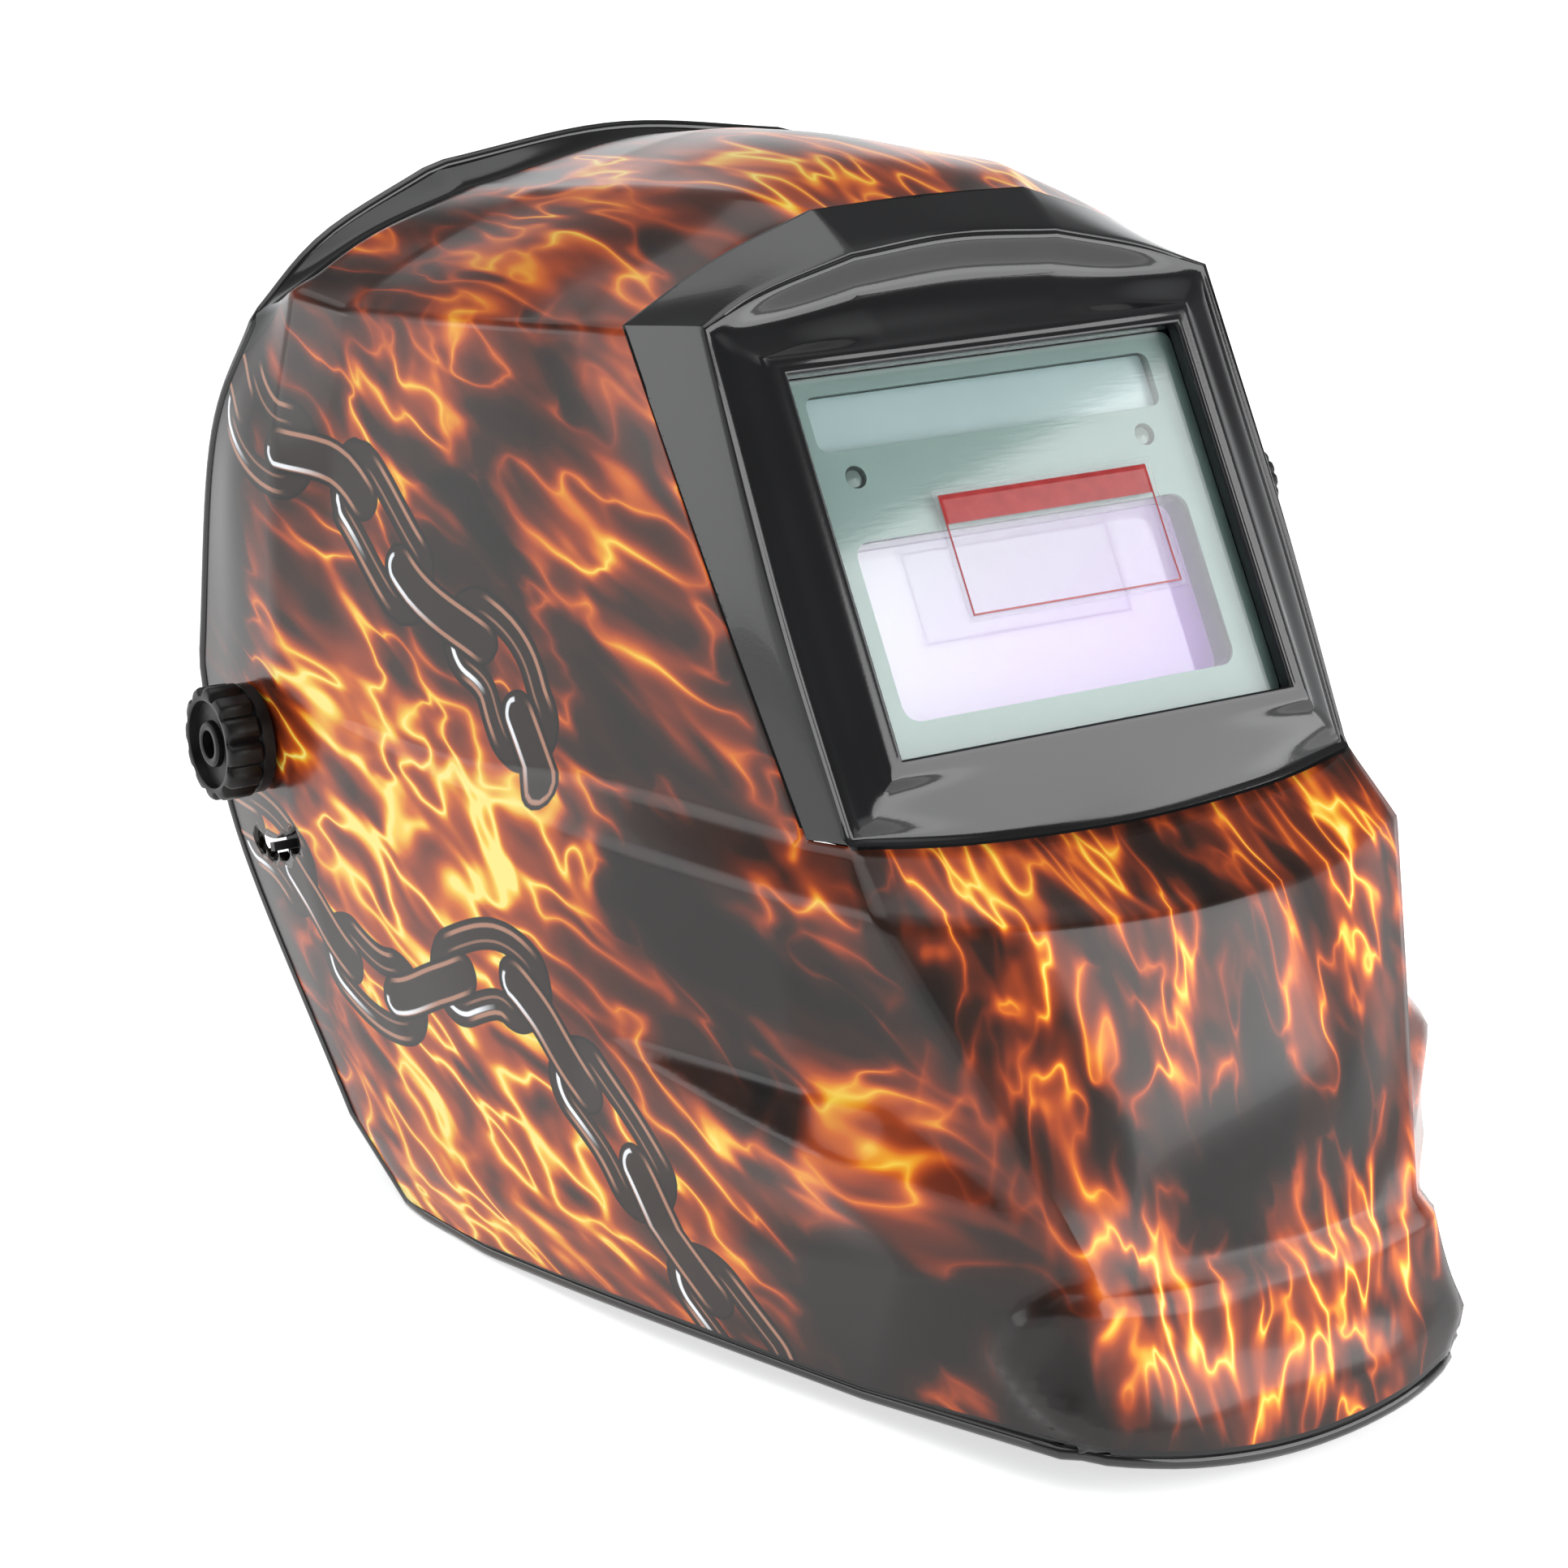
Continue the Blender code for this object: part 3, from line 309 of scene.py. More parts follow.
def plastic(name, colour, roughness, grain=0.0, grain_scale=900.0, vary=0.25, coat=0.0, specular=0.5):
    """Moulded plastic: slightly uneven colour and gloss, with a fine grain."""
    look = Look(name)
    cloud = look.noise(35.0, detail=4.0, roughness=0.6)
    fine = look.noise(grain_scale, detail=3.0, roughness=0.6)
    look.set(Base_Color=look.ramp(cloud, (0.3, tinted(colour, 1 - vary)), (0.7, tinted(colour, 1 + vary))),
             Roughness=(cloud - 0.5) * 0.12 + fine * 0.05 + (roughness - 0.025),
             Coat_Weight=coat, Coat_Roughness=0.08, Specular_IOR_Level=specular)
    if grain:
        look.bump(fine, grain, 0.6)
    return look.material


def metal(name, colour, roughness):
    """Plated metal with fine lines."""
    look = Look(name)
    lines = look.noise(60.0, look.mapped(scale=(1, 60, 60)), detail=3.0)
    cloud = look.noise(90.0, detail=3.0)
    look.set(Base_Color=look.ramp(lines, (0.35, tinted(colour, 0.75)), (0.65, colour)),
             Roughness=lines * 0.18 + cloud * 0.1 + (roughness - 0.12), Metallic=1.0)
    look.bump(lines, 0.02, 0.5)
    return look.material


def terry(name, colour):
    """Matt looped cloth over foam: small loops and uneven pile."""
    look = Look(name)
    loops = look.node("ShaderNodeTexVoronoi", "Distance", {"Vector": look.point, "Scale": 900.0,
                                                           "Randomness": 0.8})
    pile = look.noise(120.0, detail=4.0, roughness=0.6)
    base = look.ramp(pile * 0.7 + loops * 0.4, (0.3, tinted(colour, 0.55)), (0.75, tinted(colour, 1.6)))
    look.set(Base_Color=base, Roughness=0.82 + pile * 0.15, Sheen_Weight=0.35, Sheen_Roughness=0.5)
    look.bump(loops * 0.6 + pile * 0.4, 0.45, 0.8)
    return look.material


def flames(look, rotation, sizes, seed):
    """Thin bright lines, their glow and a slow unevenness of licking flames.

    The sizes are in millimetres along the turned axes; the longest lies along the licks."""
    place = look.mapped(rotation, tuple(size * MM for size in sizes), (seed,) * 3, kind="TEXTURE")
    warped = look.warped(look.warped(place, 1.7, 0.40), 0.75, 1.25)
    depth = abs(look.noise(1.0, warped, detail=1.2, roughness=0.45) - 0.5)
    width = 12.5 - look.noise(0.8, place, detail=1.0).step(0.40, 0.68) * 6.5
    thin = look.math("POWER", 1.0 - look.math("MINIMUM", depth * width, 1.0), 2.0)
    broad = 1.0 - look.math("MINIMUM", depth * 4.2, 1.0)
    return thin, broad, look.noise(0.55, warped, roughness=0.5)


FLAME_COLOURS = (
    (0.0, (0.0055, 0.0035, 0.0028)), (0.10, (0.028, 0.009, 0.005)), (0.24, (0.13, 0.020, 0.007)),
    (0.42, (0.34, 0.050, 0.010)), (0.60, (0.58, 0.12, 0.012)), (0.76, (0.72, 0.30, 0.018)),
    (0.92, (0.80, 0.56, 0.07)), (1.0, (0.84, 0.70, 0.20)),
)
BARE_RIM = (0.003, 0.003, 0.0035)


def printed_film():
    """Gloss film printed with generic flames and a plain chain on a black-brown ground."""
    look = Look("printed_film")
    on_dome, on_face, heat = look.parts(look.attribute("zones"))
    edge, along, across = look.parts(look.attribute("film"))
    side = flames(look, (24, 0, 0), (34, 31, 12.0), 3.0)
    dome = flames(look, (-4, 0, 0), (11.5, 44, 26), 7.0)
    face = flames(look, (0, 0, 0), (9.0, 34, 21), 11.3)
    thin, broad, body = (
        (at_side * (1.0 - on_dome) + at_dome * on_dome) * (1.0 - on_face) + at_face * on_face
        for at_side, at_dome, at_face in zip(side, dome, face))
    burning = (body + heat).step(0.66, 1.10)
    hot = (body + heat).step(0.98, 1.45)
    flame = burning * (0.08 + broad * 0.36 + thin * 0.48 + hot * broad * 0.22)
    colour = chain_print(look, look.ramp(flame, *FLAME_COLOURS), along, across)
    on_film = edge.step(-0.12, 0.12)
    fine = look.noise(260.0)
    look.set(Base_Color=look.mix(on_film, BARE_RIM, colour), Roughness=0.10 + on_film * 0.08 + fine * 0.04,
             Specular_IOR_Level=0.38, Coat_Weight=0.1, Coat_Roughness=0.05)
    look.bump(on_film * 0.25 + fine * 0.04, 0.35, 0.5)
    return look.material


LINK_PITCH = 54.0            # a wide link and the narrow link through it
LINKS = (                    # half length, radius of the ring's middle line, half thickness
    (12.0, 8.4, 3.9),
    (16.5, 0.0, 5.8),
)
LINK_OUTLINE = (0.0025, 0.0015, 0.0015)
LINK_DARK = (0.014, 0.008, 0.006)
LINK_PEACH = (0.36, 0.18, 0.12)
LINK_WHITE = (0.80, 0.84, 0.88)


def chain_print(look, ground, along, across):
    """Plain links, alternately seen flat and on edge, with drawn highlights."""
    upper = look.attribute("chain_side", "Fac").step(-0.3, 0.3)
    half = LINK_PITCH / 2
    for shift, (half_length, radius, tube) in zip((0.0, half), LINKS):
        at = look.math("WRAP", along + shift, LINK_PITCH, 0.0) - half
        beyond = look.math("MAXIMUM", abs(at) - half_length, 0.0)
        distance = look.math("SQRT", beyond * beyond + across * across)
        ring = abs(distance - radius)
        ground = look.mix(1.0 - ring.step(tube - 0.2, tube + 0.2), ground, LINK_OUTLINE)
        ground = look.mix(1.0 - ring.step(tube - 1.0, tube - 0.5), ground, LINK_DARK)
        run = 1.0 - abs(at).step(half_length - 3.0, half_length + 3.0)
        lit = (at * -1.0).step(half_length * -0.2, half_length * 0.9) * upper
        # distance of each streak, its half width, its strength and its colour
        if radius:
            streaks = ((radius + tube * 0.5, 0.75, run, LINK_PEACH),
                       (radius - tube * 0.45, 0.5, run * 0.6, LINK_PEACH),
                       (radius + tube * 0.15, 0.8, lit, LINK_WHITE))
        else:
            streaks = ((tube * 0.72, 0.75, run, LINK_PEACH), (tube * 0.68, 0.7, lit * 0.9, LINK_WHITE))
        for reach, width, strength, ink in streaks:
            streak = 1.0 - abs(distance - reach).step(width * 0.4, width)
            ground = look.mix(streak * strength, ground, ink)
    return ground


def visor_plastic():
    """Gloss black moulding with a very fine leathery grain."""
    look = Look("visor_plastic")
    cloud = look.noise(22.0, detail=3.0)
    fine = look.noise(1400.0, roughness=0.6)
    look.set(Base_Color=look.ramp(cloud, (0.3, (0.0035, 0.0035, 0.004)), (0.7, (0.006, 0.006, 0.007))),
             Roughness=0.08 + cloud * 0.08 + fine * 0.05, Coat_Weight=0.25, Coat_Roughness=0.03)
    look.bump(fine, 0.04, 0.3)
    return look.material


def clear_plastic():
    """Clear cover lens with a faint tint and the fine lines of its protective film."""
    look = Look("clear_cover")
    hair = look.noise(120.0, look.mapped(scale=(1, 8, 8)))
    look.set(Base_Color=(0.93, 0.98, 0.96), Roughness=0.03 + hair * 0.03, IOR=1.49, Transmission_Weight=1.0)
    look.bump(hair, 0.01, 0.3)
    return look.material


def lcd_filter():
    """Light seen through the coated filter, painted: a glowing pocket floor, white to lilac with painted
    shade towards the right and bottom, and dark walls with painted violet light near the floor.
    """
    look = Look("lcd_filter")
    x, _, z = look.parts(look.point)
    depth = look.attribute("depth", "Fac")
    low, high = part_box("filter_glass")
    across, down = (look.node("ShaderNodeMapRange", 0, {"Value": value, "From Min": start, "From Max": end})
                    for value, start, end in ((x, low.x, high.x), (z, high.z, low.z)))
    cloud = look.noise(14.0)
    # painted shade: the floor turns darker and more violet towards the right and bottom, like the pocket's
    # shadow
    shade = across * 0.75 + down * 0.35 + (cloud - 0.5) * 0.25
    base = look.ramp(shade, (0.0, (0.56, 0.52, 0.60)), (0.40, (0.54, 0.41, 0.64)), (0.75, (0.48, 0.29, 0.62)),
                     (1.0, (0.40, 0.20, 0.60)))
    # the walls are dark, with painted violet light from the floor towards their foot
    wall = look.ramp(depth, (0.0, (0.07, 0.08, 0.11)), (0.4, (0.045, 0.035, 0.10)), (0.9, (0.12, 0.07, 0.22)))
    floor = depth.step(0.93, 0.99)
    base = look.mix(floor, wall, base)
    # the floor glows: painted backlight seen through the filter
    look.set(Base_Color=base, Roughness=0.10 + cloud * 0.06, Emission_Color=base,
             Emission_Strength=floor * 0.22, Coat_Weight=1.0, Coat_Roughness=0.03)
    return look.material


def dark_filter():
    """The same filter seen from behind: deep green welding glass."""
    look = Look("dark_filter")
    cloud = look.noise(20.0)
    look.set(Base_Color=look.ramp(cloud, (0.3, (0.004, 0.020, 0.012)), (0.7, (0.006, 0.030, 0.018))),
             Roughness=0.06 + cloud * 0.05, Coat_Weight=1.0, Coat_Roughness=0.02)
    return look.material


def blank_film_look():
    """Clear protective film with a plain red band and outline, and no lettering."""
    look = Look("blank_film")
    across, down, _ = look.parts(look.attribute("film_place"))
    cloud = look.noise(300.0)
    band = 1.0 - down.step(FILM_BAND - 0.1, FILM_BAND + 0.1)
    edges = [look.math("MINIMUM", place, size - 2 * FILM_MARGIN - place)
             for place, size in zip((across, down), FILM_SIZE)]
    edge = look.math("MINIMUM", *edges)
    inside = edge.step(-0.1, 0.1)
    inked = look.math("MAXIMUM", band * inside, inside * (1.0 - edge.step(0.35, 0.55)))
    red = look.ramp(cloud, (0.3, (0.30, 0.022, 0.024)), (0.7, (0.36, 0.034, 0.034)))
    look.set(Base_Color=look.mix(inked, (0.60, 0.60, 0.62), red), Roughness=0.12 + cloud * 0.1,
             Alpha=0.10 + inked * 0.72)
    return look.material


def solar_strip():
    """Pale coated solar cell with its fine silver fingers."""
    look = Look("solar_strip")
    fingers = look.math("WRAP", look.parts(look.point)[0] * (1 / MM), 6.2, 0.0)
    line = 1.0 - fingers.step(0.10, 0.22)
    cloud = look.noise(30.0, detail=3.0)
    base = look.ramp(cloud, (0.2, (0.54, 0.66, 0.69)), (0.8, (0.62, 0.73, 0.76)))
    look.set(Base_Color=look.mix(line * 0.3, base, (0.68, 0.76, 0.76)), Roughness=0.2 + cloud * 0.1,
             Coat_Weight=0.8, Coat_Roughness=0.05)
    return look.material


# ---- mesh helpers


def add_object(name, data, material=None):
    made = bpy.data.objects.new(name, data)
    bpy.context.scene.collection.objects.link(made)
    if material:
        data.materials.append(material)
    return made


def declare(piece, body, slot, *nodes):
    """Say which body carries a piece and hide the model's parts that it stands for; the slot is not used."""
    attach(piece, body)
    if nodes:
        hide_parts(*nodes)


def mesh_from(name, points, faces, sharp=30.0):
    mesh = bpy.data.meshes.new(name)
    mesh.from_pydata([tuple(p) for p in np.reshape(points, (-1, 3))], [], [tuple(f) for f in faces])
    mesh.shade_smooth()
    if sharp:
        mesh.set_sharp_from_angle(angle=math.radians(sharp))
    return mesh


def add_layer(mesh, name, values):
    """A number or a vector for each vertex, which a material reads."""
    values = np.asarray(values, dtype=np.float32)
    kind, key = ("FLOAT_VECTOR", "vector") if values.ndim > 1 else ("FLOAT", "value")
    mesh.attributes.new(name, kind, "POINT").data.foreach_set(key, values.ravel())


def thicken(made, thickness, offset=0.0, other=0, rim=0):
    """Give a surface its wall; other and rim shift the material of its other side and its rim."""
    wall = made.modifiers.new("wall", "SOLIDIFY")
    wall.thickness = thickness * MM
    wall.offset = offset
    wall.material_offset = other
    wall.material_offset_rim = rim


def bake_modifiers(made):
    """Put the modifiers' result in the mesh."""
    graph = bpy.context.evaluated_depsgraph_get()
    mesh = bpy.data.meshes.new_from_object(made.evaluated_get(graph))
    made.modifiers.clear()
    made.data = mesh


def closed_curve(name, dimensions, loops):
    curve = bpy.data.curves.new(name, "CURVE")
    curve.dimensions = dimensions
    for loop in loops:
        spline = curve.splines.new("POLY")
        spline.use_cyclic_u = True
        spline.points.add(len(loop) - 1)
        for point, spot in zip(spline.points, loop):
            point.co = (*spot, 1)
    return curve


def flat_shape(name, outlines):
    """Filled flat mesh of an outline with holes."""
    curve = closed_curve(name, "2D", [[(x, y, 0) for x, y in outline] for outline in outlines])
    curve.fill_mode = "BOTH"
    holder = add_object(name, curve)
    graph = bpy.context.evaluated_depsgraph_get()
    mesh = bpy.data.meshes.new_from_object(holder.evaluated_get(graph))
    bpy.data.objects.remove(holder, do_unlink=True)
    return mesh


def arc(radius, start, end, steps, centre=(0.0, 0.0)):
    angles = np.radians(np.linspace(start, end, steps))
    return [(centre[0] + radius * math.cos(a), centre[1] + radius * math.sin(a)) for a in angles]


def circle(radius, x, y=0.0, steps=16):
    return arc(radius, 0, 360 - 360 / steps, steps, (x, y))


def oblong(x, y, length, height):
    """Slot with round ends."""
    run = length / 2 - height / 2
    return arc(height / 2, -90, 90, 7, (x + run, y)) + arc(height / 2, 90, 270, 7, (x - run, y))


def rounded_rectangle(size, radius, centre=(0.0, 0.0)):
    """Outline about its centre, counterclockwise from its right side."""
    x, y = size[0] / 2 - radius, size[1] / 2 - radius
    outline = []
    for sign_x, sign_y, start in ((1, 1, 0), (-1, 1, 90), (-1, -1, 180), (1, -1, 270)):
        corner = arc(radius, start, start + 90, 7, (sign_x * x, sign_y * y))
        outline += [(centre[0] + a, centre[1] + b) for a, b in corner]
    return outline


def outward(mesh):
    """Make the faces of a closed mesh point out."""
    shape = bmesh.new()
    shape.from_mesh(mesh)
    bmesh.ops.recalc_face_normals(shape, faces=shape.faces)
    shape.to_mesh(mesh)
    shape.free()


def grid_faces(index, wrap_rows=False, wrap_columns=False):
    """Quads over a grid of vertex numbers."""
    if wrap_rows:
        index = np.concatenate([index, index[:1]])
    if wrap_columns:
        index = np.concatenate([index, index[:, :1]], axis=1)
    quads = np.stack([index[:-1, :-1], index[:-1, 1:], index[1:, 1:], index[1:, :-1]], axis=-1)
    return quads.reshape(-1, 4)


def stations(spans):
    """Parameter values over the spans: a count of even steps for each."""
    values = [span + step / steps for span, steps in enumerate(spans) for step in range(steps)]
    return np.array(values + [float(len(spans))])


def weights(count, sharp, values):
    """Weights of the control points at each value, for a cubic through them.

    Its direction may jump at the sharp ones."""
    eye = np.eye(count)
    forward = np.roll(eye, -1, axis=0) - eye
    backward = eye - np.roll(eye, 1, axis=0)
    backward[0] = forward[0]
    forward[-1] = backward[-1]
    after = (forward + backward) / 2
    before = after.copy()
    for knot in sharp:
        after[knot] = forward[knot]
        before[knot] = backward[knot]
    span = np.minimum(values.astype(int), count - 2)
    s = (values - span)[:, None]
    return ((2 * s**3 - 3 * s**2 + 1) * eye[span] + (3 * s**2 - 2 * s**3) * eye[span + 1]
            + (s**3 - 2 * s**2 + s) * after[span] + (s**3 - s**2) * before[span + 1])


# ---- shell

LOWER_SPANS = [14, 20, 18, 5]
UPPER_SPANS = [22, 22, 12, 12, 18]
COLUMN_SPANS = [7, 7, 11, 19, 18, 22, 14, 12, 14]
MIRROR = np.array([-1.0, 1.0, 1.0])


def half_net(first, last, width):
    return np.array([row[:width] for row in SHELL_ROWS[first:last + 1]], dtype=float)


def net_surface(net, row_sharp, rows, column_sharp, columns):
    up = weights(net.shape[0], row_sharp, rows)
    across = weights(net.shape[1], column_sharp, columns)
    return np.einsum("ri,ijk,cj->rck", up, net, across)


def lower_surface():
    """Points, row values and column values of the shell below the belt, right side to left."""
    half = half_net(0, BELT_ROW, MIDDLE + 1)
    net = np.concatenate([half * MIRROR, half[:, -2::-1]], axis=1)
    rows = stations(LOWER_SPANS)
    columns = stations(COLUMN_SPANS + COLUMN_SPANS[::-1])
    sharp = SHARP_COLUMNS | {2 * MIDDLE - column for column in SHARP_COLUMNS}
    points = net_surface(net, {row for row in SHARP_ROWS if row <= BELT_ROW}, rows, sharp, columns)
    folded = np.minimum(columns, 2 * MIDDLE - columns)
    return points, *np.meshgrid(rows, folded, indexing="ij")


def upper_surface(columns):
    """Points, row values and column values from one belt over the crown to the other."""
    half = half_net(BELT_ROW, CROWN_ROW, CORNER + 1)
    net = np.concatenate([half * MIRROR, half[-2::-1]], axis=0)
    count = CROWN_ROW - BELT_ROW
    rows = stations(UPPER_SPANS + UPPER_SPANS[::-1])
    sharp = {row - BELT_ROW for row in SHARP_ROWS if row >= BELT_ROW}
    sharp |= {2 * count - row for row in sharp}
    points = net_surface(net, sharp, rows, SHARP_COLUMNS, columns)
    folded = np.minimum(rows, 2 * count - rows) + BELT_ROW
    return points, *np.meshgrid(folded, columns, indexing="ij")


def grid_normals(points):
    """Unit normals of a grid of points, pointing away from the inside of the helmet."""
    normals = np.cross(np.gradient(points, axis=0), np.gradient(points, axis=1))
    normals /= np.maximum(np.linalg.norm(normals, axis=-1, keepdims=True), 1e-9)
    away = points - np.array([0.0, 60.0, -90.0])
    return normals * np.sign(np.einsum("rck,rck->rc", normals, away))[..., None]


CHEEK_Y = (-100.0, -66.0, 18.0)
CHEEK_LINE = (-167.0, -145.5, -148.0)      # height of the chamfer's upper edge
CHEEK_HEIGHT = (0.0, 8.0, 0.0)
FLARE_Z = (-216.0, -206.0, -196.0, -186.0, -178.0)
FLARE_EDGE = (46.0, 56.0, 60.0, 57.0, 48.0)


def cheek_step(points):
    """Raised cheek panel: a chamfer that grows towards the front and ends in a small facet."""
    y, z = points[..., 1], points[..., 2]
    height = np.interp(y, CHEEK_Y, CHEEK_HEIGHT)
    chamfer = np.maximum(1.6 * height, 0.5)
    below = np.clip((np.interp(y, CHEEK_Y, CHEEK_LINE) - z) / chamfer, 0.0, 1.0)
    return height * below * smooth((z + 181.0) / 26.0)


def chin_flare(points):
    """Rounded lobe of the chin flare, proud of the skirt, and its rounded lower edge."""
    x, y, z = np.moveaxis(points, -1, 0)
    inside = smooth((np.interp(z, FLARE_Z, FLARE_EDGE) - np.abs(x)) / 3.0)
    lobe = inside * smooth((-177.5 - z) / 5.0) * (y < -70)
    return lobe * (3.0 + 1.6 * np.exp(-((z + 208.0) / 8.0) ** 2))


def rear_strip(rows, columns):
    """The narrow facet beside the rear edge stands a little more across than its neighbours."""
    run = smooth((rows - BELT_ROW + 0.6) / 0.6) * smooth((DOME_ROW + 0.4 - rows) / 0.4)
    return run * np.interp(columns, [0.5, 2.0, 3.0, 4.5], [0.0, 0.9, -0.8, 0.0])


def strand(points, route):
    """Length along a route in the Y-Z plane and distance across it, for each point."""
    route = weights(len(route), set(), stations([8] * (len(route) - 1))) @ np.array(route, dtype=float)
    flat = points[..., 1:].reshape(-1, 1, 2)
    start, step = route[:-1], np.diff(route, axis=0)
    length = np.linalg.norm(step, axis=1)
    run = np.concatenate([[0.0], np.cumsum(length)[:-1]])
    part = np.einsum("psk,sk->ps", flat - start, step) / length**2
    held = np.clip(part, 0.0, 1.0)
    offset = flat - (start + held[..., None] * step)
    near = np.argmin(np.einsum("psk,psk->ps", offset, offset), axis=1)
    pick = np.arange(len(near))
    side = step[near, 0] * offset[pick, near, 1] - step[near, 1] * offset[pick, near, 0]
    across = np.sign(side) * np.linalg.norm(offset[pick, near], axis=1)
    along = run[near] + held[pick, near] * length[near]
    shape = points.shape[:-1]
    return along.reshape(shape), across.reshape(shape)


# two chains on the side of the shell, in (y, z)
CHAINS = (
    [(176, -22), (150, -37), (119, -40), (90, -62), (60, -72), (50, -84), (40, -98)],
    [(176, -140), (150, -140), (132, -148), (113, -160), (92, -164), (70, -154), (48, -144), (33, -149),
     (20, -160), (4, -172), (-8, -188), (-18, -201), (-30, -216)],
)

# the print's heat on the sides, dome and face, which is how far it burns
SIDE_LEVEL = 0.38
DOME_LEVEL = 0.36
FACE_LEVEL = 0.30
REAR_COOLING = 0.25
# its warmer and cooler areas on the sides: (y, z, radius, strength)
SIDE_HEAT = (
    (100, -104, 26, 0.34), (62, -112, 26, 0.36), (128, -88, 22, 0.24), (112, -140, 30, 0.26),
    (64, -150, 28, 0.30), (34, -118, 22, 0.20), (20, -186, 32, 0.26), (88, -196, 32, 0.30),
    (-22, -178, 24, 0.24), (148, -128, 22, 0.30), (118, -30, 20, 0.16), (30, -30, 22, 0.14),
    (6, -62, 14, 0.12), (66, -50, 20, -0.30), (-4, -118, 20, -0.26), (-34, -150, 14, -0.20),
    (140, -60, 20, -0.12), (60, -205, 22, 0.16), (-66, -195, 18, -0.45), (92, -62, 12, -0.10),
)
# and on the face: (x, z, radius, strength), both sides alike
FACE_HEAT = (
    (48, -101, 13, 0.34), (22, -103, 12, 0.22), (40, -118, 11, 0.22), (49, -140, 10, 0.26),
    (46, -160, 10, 0.26), (16, -130, 15, 0.20), (34, -176, 12, 0.22), (14, -192, 15, 0.36),
    (34, -190, 11, 0.26), (5, -207, 13, 0.26), (12, -158, 14, -0.14), (60, -205, 17, -0.50),
)


def spots(first, second, table):
    total = np.zeros_like(first)
    for a, b, radius, strength in table:
        total += strength * np.exp(-((first - a) ** 2 + (second - b) ** 2) / radius**2)
    return total


def print_zones(points, rows, columns):
    """Weights of the dome's and the face's flame patterns, and the heat of the print."""
    x, y, z = np.moveaxis(points, -1, 0)
    dome = smooth(rows - (DOME_ROW - 0.5))
    face = smooth((columns - (CORNER - 0.6)) / 0.8) * (rows < BELT_ROW + 0.01)
    side_heat = SIDE_LEVEL + spots(y, z, SIDE_HEAT) - REAR_COOLING * smooth((y - 150.0) / 14.0)
    dome_heat = DOME_LEVEL + 0.16 * np.exp(-(((y - 70) / 60) ** 2 + ((np.abs(x) - 14) / 50) ** 2))
    face_heat = FACE_LEVEL + spots(np.abs(x), z, FACE_HEAT)
    heat = side_heat * (1 - dome) + dome_heat * dome
    heat = heat * (1 - face) + face_heat * face
    return np.stack([dome, face, heat], axis=-1)


FILM_FROM_REAR = 3.0         # bare margins of the print
FILM_FROM_RIM = 3.2
FILM_FROM_VISOR = 0.9
COVE_WIDTH = 12.0


def from_first(points, axis):
    """Length along a grid's lines from its first row or column."""
    steps = np.linalg.norm(np.diff(points, axis=axis), axis=-1)
    return np.insert(np.cumsum(steps, axis=axis), 0, 0.0, axis=axis)


def film_edges(points, rows, columns, lower):
    """Distance inside the printed film's edge, length along the chain and distance from it in mm;
    and the side of the chain."""
    from_rim = from_first(points, 0)
    along = from_first(points, 1)
    from_rear = np.minimum(along, along[:, -1:] - along) if lower else along
    # on the dome the film stops at the cove, on the sides it runs to the rim's bead
    start = np.interp(rows, [DOME_ROW - 0.35, DOME_ROW + 0.15], [0.0, 1.0])
    inside = (from_rear - FILM_FROM_REAR) * (1 - start) + (columns - 2.0) * COVE_WIDTH * start
    if lower:
        inside = np.minimum(inside, from_rim - FILM_FROM_RIM)
        under_visor = columns > CORNER - 0.02
        to_visor = np.where(under_visor, from_rim[-1:] - from_rim, np.inf)
    else:
        to_visor = along[:, -1:] - along
    inside = np.minimum(inside, to_visor - FILM_FROM_VISOR)
    first, second = (strand(points, chain) for chain in CHAINS)
    nearer = np.abs(second[1]) < np.abs(first[1])
    run, off = (np.where(nearer, other, one) for one, other in zip(first, second))
    return np.stack([inside, run, np.abs(off)], axis=-1), np.sign(off)


